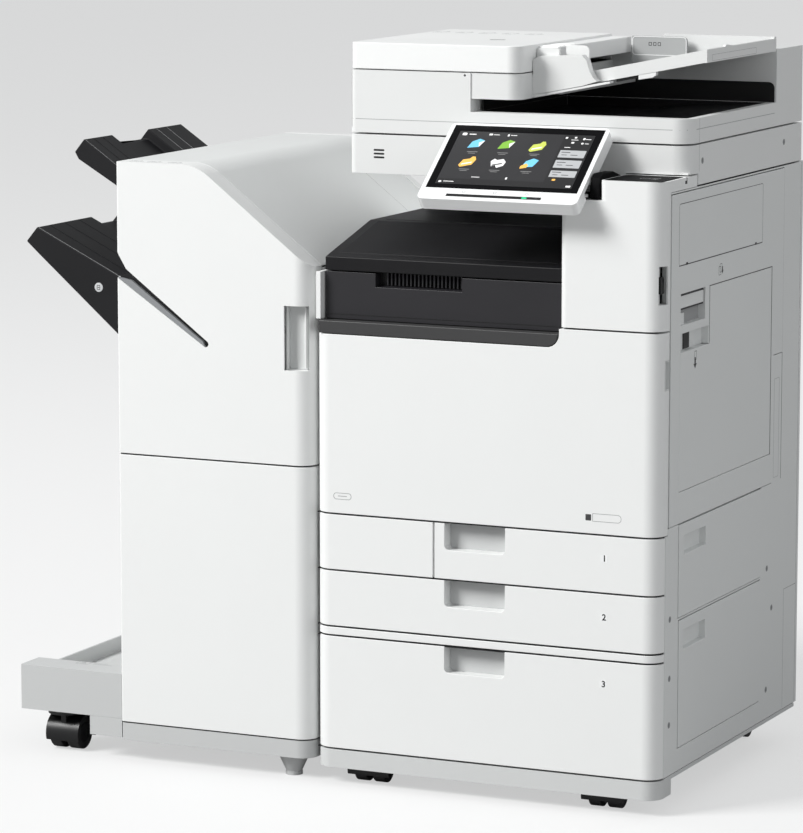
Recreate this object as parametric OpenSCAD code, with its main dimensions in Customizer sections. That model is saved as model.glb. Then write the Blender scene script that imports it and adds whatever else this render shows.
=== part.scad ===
// Office photocopier: paper drawers, reader, document feeder and a docked finisher.
// X runs to the right, Y to the back and Z up. Heights are above the floor.
// Lengths across X start at the copier's left side, lengths along Y at its front covers.

/* [Copier] */
// Width over the front covers
copier_w = 600; // [598:1:602]
// Depth from the front covers to the rear cover
copier_d = 649; // [645:1:655]
// Thickness of moulded covers
wall = 3; // [2:0.5:4]
// Radius of the front vertical edges
corner_r = 28; // [20:1:30]
// Depth of the hollow front covers
front_d = 26; // [24:1:30]
// Half of the gap between neighbouring covers
gap = 1.5; // [1:0.5:2]

/* [Heights] */
// Bottom edge of the plinth
plinth_z = 27; // [25:1:30]
// Top of the plinth, under the lowest drawer
plinth_top = 60; // [60:1:62]
// Top of the lowest drawer
drawer_3_top = 246; // [244:1:248]
// Top of the fixed strip above the lowest drawer
strip_top = 261; // [259:1:263]
// Top of the middle drawer
drawer_2_top = 353.5; // [352:0.5:355]
// Top of the upper drawer
drawer_1_top = 446; // [444:1:448]
// Top of the front cover below the output lip
cover_low_top = 739; // [737:1:741]
// Top of the front cover at its right end
cover_high_top = 769; // [767:1:771]
// Underside of the reader
reader_z = 987; // [985:1:989]
// Top of the reader
reader_top = 1050; // [1048:1:1050]
// Seam between the feeder's body and its cover
feeder_seam = 1154; // [1153:1:1156]
// Top of the feeder cover
feeder_top = 1198; // [1195:1:1205]

/* [Drawers] */
// Left edge of the finger recess
grip_x = 232; // [228:1:240]
// Width of the finger recess
grip_w = 105; // [95:1:110]
// Height of the finger recess
grip_h = 43; // [38:1:46]
// Left end of the upper drawer, beside the waste toner door
drawer_1_x = 213; // [211:1:215]

/* [Control panel] */
// Width of the panel
panel_w = 271; // [265:1:271]
// Length of the panel from its front edge to its back edge
panel_l = 179; // [170:1:179]
// Thickness of the panel
panel_t = 22; // [18:1:22]
// Slope of the panel above the horizontal, degrees
panel_tilt = 37; // [36:1:38]

/* [Finisher] */
// Left side of the finisher
finisher_x = -357; // [-360:1:-355]
// Right side of the finisher, beside the copier
finisher_right = -6; // [-8:1:-5]
// Split between the lower panel and the door
finisher_split = 518; // [510:1:525]
// Height of the flat top
finisher_top = 1000; // [990:1:1005]
// Right end of the flat top, where the slope starts
slope_x = -210; // [-215:1:-205]
// Height of the right end of the slope
slope_z = 842; // [838:1:846]
// Radius where the flat top bends into the slope
bend_r = 80; // [60:5:90]

/* [Casters] */
// Radius of the copier's caster wheels
wheel_r = 22; // [20:1:22]
// Radius of the finisher's caster wheels
finisher_wheel_r = 28; // [26:1:28]

/* [Hidden] */
$fn = 48;
clear = 0.3;
eps = 0.5;
white = [0.92, 0.93, 0.93];
grey = [0.62, 0.63, 0.64];
dark = [0.15, 0.14, 0.16];
steel = [0.66, 0.68, 0.70];
black = [0.06, 0.06, 0.07];
centre_x = 5;
centre_y = 300;
side_d = 36;
side_in = copier_w - 4;
side_out = copier_w - 1;
reader_y = 112;
reader_back = 634;
rear_y = copier_d - 9;
plate = 3;
frame_x = [18, 559];
frame_y = [45, 620];
frame_z = [58, reader_z - 2];
seam = 0.2;
shelf_1_z = 250;
shelf_2_z = 448;
shelf_3_z = 742;
shelf_t = 5;
column_x = 430;
drum_axis = [470, 640];
toner_axis = [150, 640];
fixing_axis = [505, 860];
shaft_r = 5;
lip_r = 20;
lip_right = 426;
lip_z = [739, 759];
notch_x = 494;
notch_z = 974;
door_t = 16;
bypass_t = 12;
bypass_y = [80, 497];
bypass_z = [509, 821];
bypass_cut = [208, 729];
pocket_y = [211, 440];
lever_y = [80, 188];
lever_z = [772, 822];
panel_x = 204;
panel_front = [-49, 968];
panel_pivot = [4, 978];
feeder_z = 1053;
rim_z = 1092;
feed_x = 226;
block_x = 310;
tub_y = [135, 505];
tub_z = 1075;
tower_z = 1179;
lid_hinge_y = 641;
lid_hinge_z = 1051;
tray_pivot = [354, 1135];
guide_x = [356, 454];
guide_t = 5;
lid_front = [838, 860];
lid_crest = [190, 903];
buffer_x = [12, 424];
buffer_y = [24, 520];
door_depth = 45;
fall = atan2(finisher_top - slope_z, finisher_right - slope_x);
finisher_d = 640;
finisher_base = 35;
kick_z = 65;
caster_trail = -12;
caster_spots = [[87, 58], [498, 58]];
rear_wheel_y = 600;
finisher_caster = [-480, 32];
finisher_trail = 16;
finisher_rear_y = 586;

// ---- shared shapes ----

// Moves a shape from the copier's own corner to the frame centred under the whole machine.
module placed() {
    translate([-centre_x, -centre_y, 0]) children();
}

// A box between two bounds on each axis.
module block(x, y, z) {
    translate([x[0], y[0], z[0]]) cube([x[1] - x[0], y[1] - y[0], z[1] - z[0]]);
}

// A cylinder along Y, centred on (x, z).
module rod_y(x, z, y, r) {
    translate([x, y[1], z]) rotate([90, 0, 0]) cylinder(h = y[1] - y[0], r = r);
}

// A cylinder along X, centred on (y, z).
module rod_x(x, y, z, r) {
    translate([x[0], y, z]) rotate([0, 90, 0]) cylinder(h = x[1] - x[0], r = r);
}

// A profile drawn in X and Z, stretched along Y.
module along_y(y) {
    translate([0, y[1], 0]) rotate([90, 0, 0]) linear_extrude(y[1] - y[0]) children();
}

// A plan with rounded front corners, left and right radii given apart.
module front_plan(x, y, left_r, right_r) {
    middle = (x[0] + x[1]) / 2;
    intersection() {
        translate([x[0], y[0]]) square([x[1] - x[0], y[1] - y[0]]);
        union() {
            translate([x[0], y[0] + left_r]) square([middle - x[0], 1000]);
            translate([middle, y[0] + right_r]) square([x[1] - middle, 1000]);
            translate([x[0] + left_r, y[0]]) square([x[1] - x[0] - left_r - right_r, 1000]);
            if (left_r > 0) translate([x[0] + left_r, y[0] + left_r]) circle(left_r);
            if (right_r > 0) translate([x[1] - right_r, y[0] + right_r]) circle(right_r);
        }
    }
}

// The hollow left inside a front cover, open at the back.
module front_hollow(x, z, depth, left_r, right_r) {
    translate([0, 0, z[0] + wall]) linear_extrude(z[1] - z[0] - 2 * wall)
        front_plan([x[0] + wall, x[1] - wall], [wall, depth + 1],
            max(left_r - wall, 0), max(right_r - wall, 0));
}

// The outside of a front cover.
module front_solid(x, z, depth, left_r, right_r) {
    translate([0, 0, z[0]]) linear_extrude(z[1] - z[0])
        front_plan(x, [0, depth], left_r, right_r);
}

// A recess with rounded lower corners, drawn in X and Z.
module recess_profile(x, z, r) {
    translate([x[0] + r, z[0]]) square([x[1] - x[0] - 2 * r, z[1] - z[0]]);
    translate([x[0], z[0] + r]) square([x[1] - x[0], z[1] - z[0] - r]);
    for (side = [x[0] + r, x[1] - r]) translate([side, z[0] + r]) circle(r);
}

// A drawer front with its finger recess, open at the top.
module drawer_front(x, z, left_r) {
    recess_x = [grip_x, grip_x + grip_w];
    color(white) difference() {
        union() {
            difference() {
                front_solid(x, z, front_d, left_r, corner_r);
                front_hollow(x, z, front_d, left_r, corner_r);
            }
            block([recess_x[0] - wall, recess_x[1] + wall], [1, front_d],
                [z[1] - grip_h - wall, z[1]]);
        }
        along_y([-1, front_d - wall]) recess_profile(recess_x, [z[1] - grip_h, z[1] + 1], 8);
    }
}

// An open paper bin behind a drawer front.
module paper_bin(x, z) {
    color(dark) difference() {
        block(x, [front_d, 590], z);
        block([x[0] + wall, x[1] - wall], [front_d + wall, 590 - wall], [z[0] + wall, z[1] + 1]);
    }
}

// The hinged plate that lifts the paper, with its pivot rod at the left.
module lift_plate(x, z) {
    color(steel) {
        block([x[0] + 9, x[1]], [60, 560], [z, z + 2]);
        rod_y(x[0] + 9, z + 1, [60, 560], 3);
    }
}

// A plate on the right side, outside face flush with the doors.
module side_plate(y, z, depth) {
    block([copier_w - depth, copier_w], y, z);
}

// A round-topped swivel bracket that carries an axle behind its pivot.
module caster_fork(spot, trail, top, r, top_r) {
    axle = [spot[1] + trail, r];
    color(black) difference() {
        union() {
            translate([spot[0], spot[1], top - 6]) cylinder(h = 6 - clear, r = top_r);
            block([spot[0] - 5, spot[0] + 5],
                [min(spot[1], axle[0]) - 10, max(spot[1], axle[0]) + 9], [r - 9, top - 6]);
        }
        rod_x([spot[0] - 6, spot[0] + 6], axle[0], axle[1], 4 + clear);
    }
}

// Two wheels on one axle, one on each side of the bracket.
module caster_wheels(spot, trail, r) {
    color(black) {
        rod_x([spot[0] - 26, spot[0] + 26], spot[1] + trail, r, 4);
        for (side = [-26, 6]) rod_x([spot[0] + side, spot[0] + side + 20],
            spot[1] + trail, r, r);
    }
}

// The outline of the finisher's front, with its flat top and long slope.
module finisher_profile(low, inset) {
    bend = [slope_x - bend_r * tan(fall / 2), finisher_top - bend_r];
    polygon(concat([[finisher_x + inset, low], [finisher_right - inset, low],
        [finisher_right - inset, slope_z + inset * tan(fall) - inset / cos(fall)]],
        [for (i = [6:-1:0]) bend + (bend_r - inset) * [sin(fall * i / 6), cos(fall * i / 6)]],
        [[finisher_x + inset, finisher_top - inset]]));
}

// The plan of the finisher's front covers, shrunk by an inset.
module finisher_plan(depth, inset) {
    front_plan([finisher_x + inset, finisher_right - inset], [inset, depth],
        max(4 - inset, 0.5), corner_r - inset);
}

// ---- copier: frame and fixed covers ----

// Upright and level sheets, each a hair clear of the next, where they are spot-welded.
module main_frame() {
    left = frame_x[0];
    right = frame_x[1];
    sheet_y = [frame_y[0] + plate + seam, frame_y[1] - plate - seam];
    shelf_x = [left + plate + seam, right - plate - seam];
    shelf_y = [40, sheet_y[1]];
    rail_y = [sheet_y[0], 600];
    upper_z = shelf_3_z + shelf_t + seam;
    drawer_1_rail = strip_top + 95;
    color(steel) placed() {
        block([left, left + plate], sheet_y, [frame_z[0], upper_z - seam]);
        block([left, left + plate], [540, sheet_y[1]], [upper_z + 7, frame_z[1]]);
        block([right - plate, right], sheet_y, [frame_z[0], 968]);
        block(frame_x, [frame_y[1] - plate, frame_y[1]], frame_z);
        for (shelf = [shelf_1_z, shelf_2_z])
            block(shelf_x, shelf_y, [shelf, shelf + shelf_t]);
        block([shelf_x[0], column_x + plate], sheet_y, [shelf_3_z, shelf_3_z + shelf_t]);
        difference() {
            block(frame_x, [frame_y[0], frame_y[0] + plate],
                [shelf_2_z + shelf_t + seam, shelf_3_z + shelf_t]);
            rod_y(drum_axis[0], drum_axis[1], [40, 60], shaft_r + clear);
            rod_y(toner_axis[0], toner_axis[1], [40, 60], 42);
        }
        block([column_x, right], [frame_y[0], frame_y[0] + plate], [upper_z, 968]);
        block([column_x, column_x + plate], sheet_y, [upper_z, 968]);
        block([205, 208], sheet_y, [drawer_1_rail, shelf_2_z - seam]);
        for (level = [64, strip_top + 2]) {
            block([shelf_x[0], 60], rail_y, [level, level + 3]);
            block([530, shelf_x[1]], rail_y, [level, level + 3]);
        }
        block([208 + seam, 240], rail_y, [drawer_1_rail, drawer_1_rail + 3]);
        block([530, shelf_x[1]], rail_y, [drawer_1_rail, drawer_1_rail + 3]);
    }
}

module base_plinth() {
    wheel_x = [80, 520];
    color(white) placed() {
        block([1, side_out], [front_d + 2, rear_y - 1], [52, frame_z[0]]);
        difference() {
            front_solid([1, side_out], [plinth_z, frame_z[0] - 1], 60, corner_r, corner_r);
            translate([0, 0, plinth_z - 1]) linear_extrude(25 + 1)
                front_plan([1 + wall, side_out - wall], [wall, 61], corner_r - wall,
                    corner_r - wall);
        }
    }
    color(black) placed() {
        for (x = [150, 450]) for (y = [130, 560]) {
            translate([x, y, 0]) cylinder(h = 6, r = 15);
            translate([x, y, 6]) cylinder(h = 46, r = 5);
        }
        for (x = wheel_x) for (side = [-20, 14]) difference() {
            block([x + side, x + side + 6], [rear_wheel_y - 10, rear_wheel_y + 10],
                [wheel_r - 9, 52]);
            rod_x([x + side - 1, x + side + 7], rear_wheel_y, wheel_r, 4 + clear);
        }
    }
}

module rear_cover() {
    inlet_x = [70, 98];
    inlet_z = [120, 140];
    color(grey) placed() {
        difference() {
            block([1, side_out], [rear_y, copier_d], [frame_z[0] + 1, reader_z - 2]);
            block([1 + wall, side_out - wall], [rear_y - 1, copier_d - wall],
                [frame_z[0] + 1 + wall, reader_z - 2 - wall]);
            block(inlet_x, [rear_y - 2, copier_d + 1], inlet_z);
        }
        difference() {
            block([inlet_x[0] - wall, inlet_x[1] + wall], [rear_y - 14, copier_d - wall],
                [inlet_z[0] - wall, inlet_z[1] + wall]);
            block(inlet_x, [rear_y - 11, copier_d + 1], inlet_z);
        }
        for (x = [-7, 0, 7]) rod_y((inlet_x[0] + inlet_x[1]) / 2 + x,
            (inlet_z[0] + inlet_z[1]) / 2, [rear_y - 12, rear_y + 2], 1.6);
    }
}

module left_cover() {
    color(grey) placed() {
        block([1, 1 + wall], [side_d + gap, rear_y - gap], [frame_z[0] + 1, shelf_3_z]);
        block([1, 1 + wall], [430, rear_y - gap], [shelf_3_z - eps, reader_z - 2]);
        block([1, 9], [10, 431], [lip_z[1] + 1, lid_front[0] - 2]);
    }
}

module right_side_cover() {
    color(grey) placed() difference() {
        union() {
            block([side_in, side_out], [side_d + gap, rear_y - gap], [frame_z[0] + 1, 984]);
            block([side_in, side_out], [front_d + gap, side_d + 2], [frame_z[0] + 1, 446]);
        }
        block([side_in - 1, side_out + 1], [37, 555.5], [671.5, 981.5]);
        block([side_in - 1, side_out + 1], [37, 511.5], [457, 673]);
        block([side_in - 1, side_out + 1], [82, 463], [306, 458]);
        block([side_in - 1, side_out + 1], [85, 463], [95, 303]);
    }
}

module upper_right_cover() {
    low = [lip_right + 2, side_out];
    high = [notch_x, side_out];
    top = 1003;
    color(white) placed() difference() {
        union() {
            front_solid(low, [cover_high_top + gap, notch_z - 2], side_d, 12, corner_r);
            front_solid(high, [notch_z - 3, top], reader_y - 2, 12, corner_r);
            block([notch_x, side_out], [reader_y - 3, 149], [985, top]);
        }
        front_hollow(low, [cover_high_top + gap, notch_z - 2], side_d, 12, corner_r);
        front_hollow(high, [notch_z - 12, top], 150, 12, corner_r);
        block([notch_x - 1, copier_w + 1], [side_d, 150], [960, 985]);
        block([584, 610], [8, 27], [812, 872]);
        block([518, 586], [22, 98], [top - 1.5, top + 1]);
    }
    color(black) placed() {
        block([580, 584], [9, 30], [809, 875]);
        for (z = [809, 872]) block([580, 594], [21, 30], [z, z + 3]);
    }
}

module divider_trim() {
    color(white) placed() difference() {
        front_solid([1, side_out], [drawer_3_top + gap, strip_top - gap], front_d, corner_r,
            corner_r);
        translate([0, 0, drawer_3_top]) linear_extrude(20)
            front_plan([1 + wall, side_out - wall], [wall, front_d + 1], corner_r - wall,
                corner_r - wall);
    }
}

module lip_profile(x, z, r) {
    intersection() {
        translate([x[0], z[0]]) square([x[1] - x[0], z[1] - z[0]]);
        union() {
            translate([x[0], z[0]]) square([x[1] - x[0] - r, z[1] - z[0]]);
            translate([x[0], z[0] + r]) square([x[1] - x[0], z[1] - z[0]]);
            translate([x[1] - r, z[0] + r]) circle(r);
        }
    }
}

module output_lip() {
    color([0.28, 0.28, 0.28]) placed() {
        along_y([1, 40]) lip_profile([10, lip_right - gap], lip_z, lip_r - gap);
        block([10, column_x - 2], [40, 600], [shelf_3_z + shelf_t, shelf_3_z + shelf_t + 6]);
    }
}

module buffer_body() {
    color(dark) placed() difference() {
        block(buffer_x, buffer_y, [lip_z[1] + 1, lid_front[0] - 2]);
        block([buffer_x[0] + wall, buffer_x[1] - wall], [buffer_y[0] + 26, buffer_y[1] - wall],
            [lip_z[1] + 1 + wall, lid_front[0]]);
        block([100, 251], [buffer_y[0] - 1, buffer_y[0] + 20], [lid_front[0] - 24, lid_front[0]]);
    }
}

module buffer_lid() {
    low = lid_front[0];
    front = buffer_y[0] - 2;
    outer = [[front, low], [front, lid_front[1]], lid_crest, [buffer_y[1], lid_crest[1]],
        [buffer_y[1], low]];
    inner = [[front + wall, low - 1], [front + wall, lid_front[1] - wall],
        [lid_crest[0] + 1, lid_crest[1] - wall], [buffer_y[1] - wall, lid_crest[1] - wall],
        [buffer_y[1] - wall, low - 1]];
    color(dark) placed() difference() {
        translate([buffer_x[0], 0, 0]) rotate([90, 0, 90])
            linear_extrude(buffer_x[1] - buffer_x[0]) polygon(outer);
        translate([buffer_x[0] + wall, 0, 0]) rotate([90, 0, 90])
            linear_extrude(buffer_x[1] - buffer_x[0] - 2 * wall) polygon(inner);
    }
}

// ---- copier: front cover and what lies behind it ----

// The room that the output lip takes from the front cover, grown by a margin.
module lip_notch(margin) {
    corner_x = lip_right - lip_r;
    corner_z = cover_low_top + lip_r;
    r = lip_r + gap + margin;
    block([-1, corner_x], [-1, side_d + 2], [corner_z - r, 800]);
    block([-1, corner_x + r], [-1, side_d + 2], [corner_z, 800]);
    rod_y(corner_x, corner_z, [-1, side_d + 2], r);
}

module front_cover() {
    x = [1, side_out];
    z = [drawer_1_top + gap, cover_high_top - gap];
    color(white) placed() difference() {
        front_solid(x, z, side_d, corner_r, corner_r);
        lip_notch(0);
        difference() {
            front_hollow(x, z, side_d, corner_r, corner_r);
            lip_notch(wall);
        }
        block([copier_w - 14, copier_w + 1], [20, side_d + 2], [677, 724]);
    }
}

module toner_bottle() {
    color([0.2, 0.2, 0.22]) placed() {
        rod_y(toner_axis[0], toner_axis[1], [50, 420], 38);
        rod_y(toner_axis[0], toner_axis[1], [42, 50], 30);
        rod_y(toner_axis[0], toner_axis[1], [420, 616], shaft_r);
    }
}

module drum_roller() {
    color([0.2, 0.5, 0.45]) placed() {
        rod_y(drum_axis[0], drum_axis[1], [70, 560], 15);
        rod_y(drum_axis[0], drum_axis[1], [43, 616], shaft_r);
    }
}

module fixing_roller() {
    color([0.55, 0.3, 0.2]) placed() {
        rod_y(fixing_axis[0], fixing_axis[1], [70, 560], 17);
        rod_y(fixing_axis[0], fixing_axis[1], [49, 616], shaft_r);
    }
}

module waste_toner_door() {
    x = [1, drawer_1_x - gap];
    z = [drawer_2_top + gap, drawer_1_top - gap];
    color(white) placed() difference() {
        front_solid(x, z, front_d, corner_r, 0);
        front_hollow(x, z, front_d, corner_r, 0);
    }
}

// ---- copier: drawers ----

module drawer_1_front() {
    placed() drawer_front([drawer_1_x + gap, side_out],
        [drawer_2_top + gap, drawer_1_top - gap], 0);
}

module drawer_1_tray() {
    placed() paper_bin([224, 546], [strip_top + 100, drawer_1_top - 8]);
}

module drawer_1_lift_plate() {
    placed() lift_plate([224, 530], strip_top + 109);
}

module drawer_2_front() {
    placed() drawer_front([1, side_out], [strip_top + gap, drawer_2_top - gap], corner_r);
}

module drawer_2_tray() {
    placed() paper_bin([34, 546], [strip_top + 6, drawer_2_top - 10]);
}

module drawer_2_lift_plate() {
    placed() lift_plate([44, 530], strip_top + 15);
}

module drawer_3_front() {
    placed() drawer_front([1, side_out], [plinth_top, drawer_3_top - gap], corner_r);
}

module drawer_3_tray() {
    placed() paper_bin([34, 546], [68, drawer_3_top - 8]);
}

module drawer_3_lift_plate() {
    placed() lift_plate([44, 530], 77);
}

// ---- copier: right side ----

module right_door() {
    color(grey) placed() difference() {
        union() {
            side_plate([38.5, 554], [673, 980], door_t);
            side_plate([38.5, 510], [458.5, 674], door_t);
            block([copier_w - 28, copier_w - door_t], [110, 440], [490, 930]);
        }
        block([copier_w - bypass_t - 1, copier_w + 1], [bypass_y[0] - 1, bypass_y[1] + 1],
            [bypass_z[0] - 1, bypass_cut[1] + 1]);
        block([copier_w - bypass_t - 1, copier_w + 1], [bypass_cut[0] - 1, bypass_y[1] + 1],
            [bypass_z[0] - 1, bypass_z[1] + 1]);
        block([copier_w - bypass_t - 1, copier_w + 1], lever_y, lever_z);
        block([copier_w - bypass_t - 1, copier_w + 1], [80, 204], [729, 759]);
        block([copier_w - 29, copier_w - bypass_t + 6.5], pocket_y, [821, 902]);
    }
}

module bypass_tray() {
    color(grey) placed() difference() {
        union() {
            side_plate([bypass_y[0], bypass_y[1]], [bypass_z[0], bypass_cut[1]], bypass_t);
            side_plate([bypass_cut[0], bypass_y[1]], bypass_z, bypass_t);
        }
        block([copier_w - bypass_t - 1, copier_w - bypass_t + 6], pocket_y, [560, 830]);
    }
}

module bypass_extension() {
    color([0.5, 0.51, 0.52]) placed()
        block([copier_w - bypass_t + 0.5, copier_w - bypass_t + 5.5],
            [pocket_y[0] + 6, pocket_y[1] - 6], [590, 815]);
}

module door_lever() {
    pivot_z = 818;
    color(dark) placed() {
        block([copier_w - 9, copier_w - 3], [lever_y[0] + 2, lever_y[1] - 2], [796, pivot_z]);
        rod_y(copier_w - 6, pivot_z, [lever_y[0] + 0.5, lever_y[1] - 0.5], 3);
    }
}

// A side door hinged along its lower edge, with a finger recess.
module side_door(y, z, grip_y, grip_z) {
    difference() {
        side_plate(y, z, door_t);
        block([copier_w - 12, copier_w + 1], grip_y, grip_z);
    }
}

module lower_right_door() {
    color(grey) placed() side_door([83.5, 461.5], [307.5, 455.5], [105, 202], [406, 436]);
}

module cassette_unit_door() {
    color(grey) placed() side_door([86.5, 461.5], [96.5, 301.5], [105, 204], [253, 284]);
}

module power_switch() {
    color(black) placed() {
        block([586, 593], [11, 24], [829, 855]);
        rod_y(588, 842, [9, 26], 2);
    }
}

// ---- reader ----

module reader_body() {
    color(white) placed() {
        difference() {
            translate([0, 0, reader_z]) linear_extrude(reader_top - reader_z)
                front_plan([12, copier_w], [reader_y, reader_back], 12, 30);
            translate([0, 0, reader_z + wall])
                linear_extrude(reader_top - reader_z - wall - 4)
                front_plan([12 + wall, copier_w - wall],
                    [reader_y + wall, reader_back - wall], 9, 27);
            block([60, 500], [170, 480], [reader_top - 5, reader_top + 1]);
            block([notch_x - gap, copier_w + 1], [reader_y - 1, 151], [reader_z - 1, 1005]);
        }
        for (y = [190, 460]) block([20, 590], [y, y + 8], [reader_z + wall, reader_z + 16]);
        block([notch_x - gap - 3, copier_w - wall], [reader_y + wall - 1, 154], [1005, 1008]);
        block([notch_x - gap - 3, notch_x - gap], [reader_y + 1, 154],
            [reader_z + 1, 1006]);
        block([notch_x - gap - 1, copier_w - wall], [151, 154], [reader_z + 1, 1006]);
        for (x = [90, 480]) {
            block([x, x + 38], [reader_back - 1, lid_hinge_y + 6], [1010, lid_hinge_z - 4]);
            rod_x([x, x + 38], lid_hinge_y, lid_hinge_z, 6);
            rod_x([x, x + 70], lid_hinge_y, lid_hinge_z, 3);
        }
    }
}

module platen_glass() {
    color([0.7, 0.8, 0.8, 0.5]) placed()
        block([60, 500], [170, 480], [reader_top - 4, reader_top]);
}

module scan_carriage() {
    color(black) placed() block([72, 112], [165, 485], [reader_z + 17, reader_top - 8]);
}

// ---- document feeder ----

module feeder_body() {
    x = [12, copier_w];
    y = [reader_y, reader_back];
    color(white) placed() difference() {
        union() {
            translate([0, 0, feeder_z]) linear_extrude(rim_z - feeder_z)
                front_plan(x, y, 12, 30);
            translate([0, 0, rim_z - eps]) linear_extrude(feeder_seam - rim_z + eps)
                front_plan([x[0], feed_x], y, 12, 0);
            block([x[0], copier_w], [507, reader_back], [rim_z - eps, tower_z]);
            translate([0, 0, 1113]) linear_extrude(feeder_seam - 1113)
                front_plan([feed_x - 1, block_x], [reader_y + 2, 508], 0, 22);
            block([block_x - 1, 352], [189 + seam, 508], [1119, 1128]);
            along_y([165, 182]) polygon([[block_x + seam, 1119], [335, 1123], [396, 1135],
                [422, 1143], [416, 1147], [409, 1158], [403, 1176], [395, 1183.6],
                [320, 1180], [block_x + gap, 1174], [block_x + gap, 1150],
                [block_x + seam, 1149]]);
            along_y([181, 189]) polygon([[block_x + seam, 1120], [350, 1128], [350, 1190],
                [346, 1193], [314, 1192], [block_x + gap, 1189], [block_x + gap, 1150],
                [block_x + seam, 1149]]);
            for (hinge_x = [132, 522]) {
                block([hinge_x, hinge_x + 26], [reader_back - 1, lid_hinge_y],
                    [lid_hinge_z + 2.5, lid_hinge_z + 14]);
                rod_x([hinge_x, hinge_x + 26], lid_hinge_y, lid_hinge_z, 6.5);
            }
        }
        block([feed_x + 3, 586], tub_y, [tub_z, rim_z + 1]);
        block([x[0] + wall, feed_x - wall], [reader_y + wall, 504],
            [feeder_z + 8, feeder_seam + 1]);
        block([feed_x + 2, block_x - wall], [reader_y + 26, 500], [1116, feeder_seam + 1]);
        block([x[0] + wall, copier_w - wall], [511, reader_back - wall],
            [feeder_z + 8, tower_z - wall]);
        rod_y(270, 1138, [129, 505], 4 + clear);
        for (hinge_x = [132, 522])
            rod_x([hinge_x - 1, hinge_x + 27], lid_hinge_y, lid_hinge_z, 3 + clear);
    }
}

module feeder_cover() {
    x = [14, 345];
    low = feeder_seam + gap;
    color(white) placed() difference() {
        union() {
            translate([0, 0, low]) linear_extrude(feeder_top - low)
                front_plan([x[0], block_x], [reader_y, 504], 12, 22);
            block([block_x - 30, x[1]], [190, 504], [1168, feeder_top - 4]);
        }
        translate([0, 0, low - 1]) linear_extrude(feeder_top - low - wall + 1)
            front_plan([x[0] + wall, block_x - wall], [reader_y + wall, 504 - wall], 9, 19);
        block([block_x - 10, x[1] - wall], [193, 501], [low - 1, feeder_top - 7]);
    }
}

// Height of the sloping tray's top face.
function bed_top(x) = 1139 + (x - tray_pivot[0]) * 0.2254;

module document_tray() {
    bed = [[tray_pivot[0], 1131], [596, 1180], [598, bed_top(598)], [tray_pivot[0], 1139]];
    rim = [[406, 1138], [596, 1176], [600, 1197], [406, 1158]];
    back = [[406, 1138], [596, 1176], [600, 1200], [406, 1200]];
    color(white) placed() {
        along_y([192, 496]) polygon(bed);
        along_y([184, 193]) polygon(rim);
        along_y([495, 504]) polygon(back);
        block([594, 600], [184, 504], [1176, 1197]);
        rod_y(tray_pivot[0], tray_pivot[1], [192, 496], 4);
    }
}

// A paper guide that stands on the sloping tray.
module side_guide(y, end) {
    along_y(y) polygon([[guide_x[0], bed_top(guide_x[0]) + clear],
        [end, bed_top(end) + clear], [end, 1190], [end - 2, 1194], [end - 6, 1196.5],
        [end - 10, 1197], [guide_x[0], 1197]]);
}

module front_side_guide() {
    color(white) placed() side_guide([195, 195 + guide_t], 396);
}

module rear_side_guide() {
    color(white) placed() side_guide([478, 478 + guide_t], guide_x[1]);
}

module feed_roller() {
    color(black) placed() {
        rod_y(270, 1138, [200, 440], 14);
        rod_y(270, 1138, [130, 504], 4);
    }
}

// ---- control panel ----

module panel_arm() {
    color(black) placed() {
        block([432, 488], [40, reader_y - 4], [notch_z - 2, 984]);
        for (ear = [434, 462]) difference() {
            union() {
                block([ear, ear + 10], [panel_pivot[0] + 3, 44], [notch_z + 1, 984]);
                rod_x([ear, ear + 10], panel_pivot[0] + 3, panel_pivot[1], 4);
            }
            rod_x([ear - 1, ear + 11], panel_pivot[0], panel_pivot[1], 2.5 + clear);
        }
    }
}

// Moves a shape drawn flat to the sloping panel, its front left corner at the origin.
module on_panel() {
    translate([panel_x, panel_front[0], panel_front[1]]) rotate([panel_tilt, 0, 0]) children();
}

module control_panel() {
    r = 10;
    color(white) placed() on_panel() difference() {
        translate([0, 0, -panel_t]) linear_extrude(panel_t) {
            translate([r, 0]) square([panel_w - 2 * r, panel_l]);
            translate([0, r]) square([panel_w, panel_l - 2 * r]);
            for (x = [r, panel_w - r]) for (y = [r, panel_l - r]) translate([x, y]) circle(r);
        }
        translate([7, 26, -2]) cube([panel_w - 14, panel_l - 31, 3]);
        translate([226, 36, -panel_t - 1]) cube([46, 48, 14]);
    }
    color(black) placed() {
        rod_x([433, 473], panel_pivot[0], panel_pivot[1], 2.5);
        on_panel() translate([242, 45, -26]) cube([14, 7, 17]);
    }
}

module touch_screen() {
    color(black) placed() on_panel()
        translate([7, 26, -2]) cube([panel_w - 14, panel_l - 31, 2]);
}

// ---- finisher ----

module finisher_frame() {
    roller = [-346, 778];
    color(steel) placed() difference() {
        union() {
            for (y = [48, 615]) along_y([y, y + plate]) finisher_profile(66, 5);
            block([-338, -338 + plate], [48, 618], [66, 930]);
            block([-14, -14 + plate], [48, 618], [66, 820]);
            block([-338, -14], [48, 618], [66, 69]);
            block([-338, -14], [48, 618], [515, 518]);
        }
        for (window = [[110, 470], [560, 740]])
            block([-320, -50], [40, 60], window);
        block([-340, -330], [112, 488], [760, 800]);
        block([-340, -330], [112, 488], [950, 980]);
        rod_y(roller[0], roller[1], [40, 630], 3 + clear);
    }
}

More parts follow.
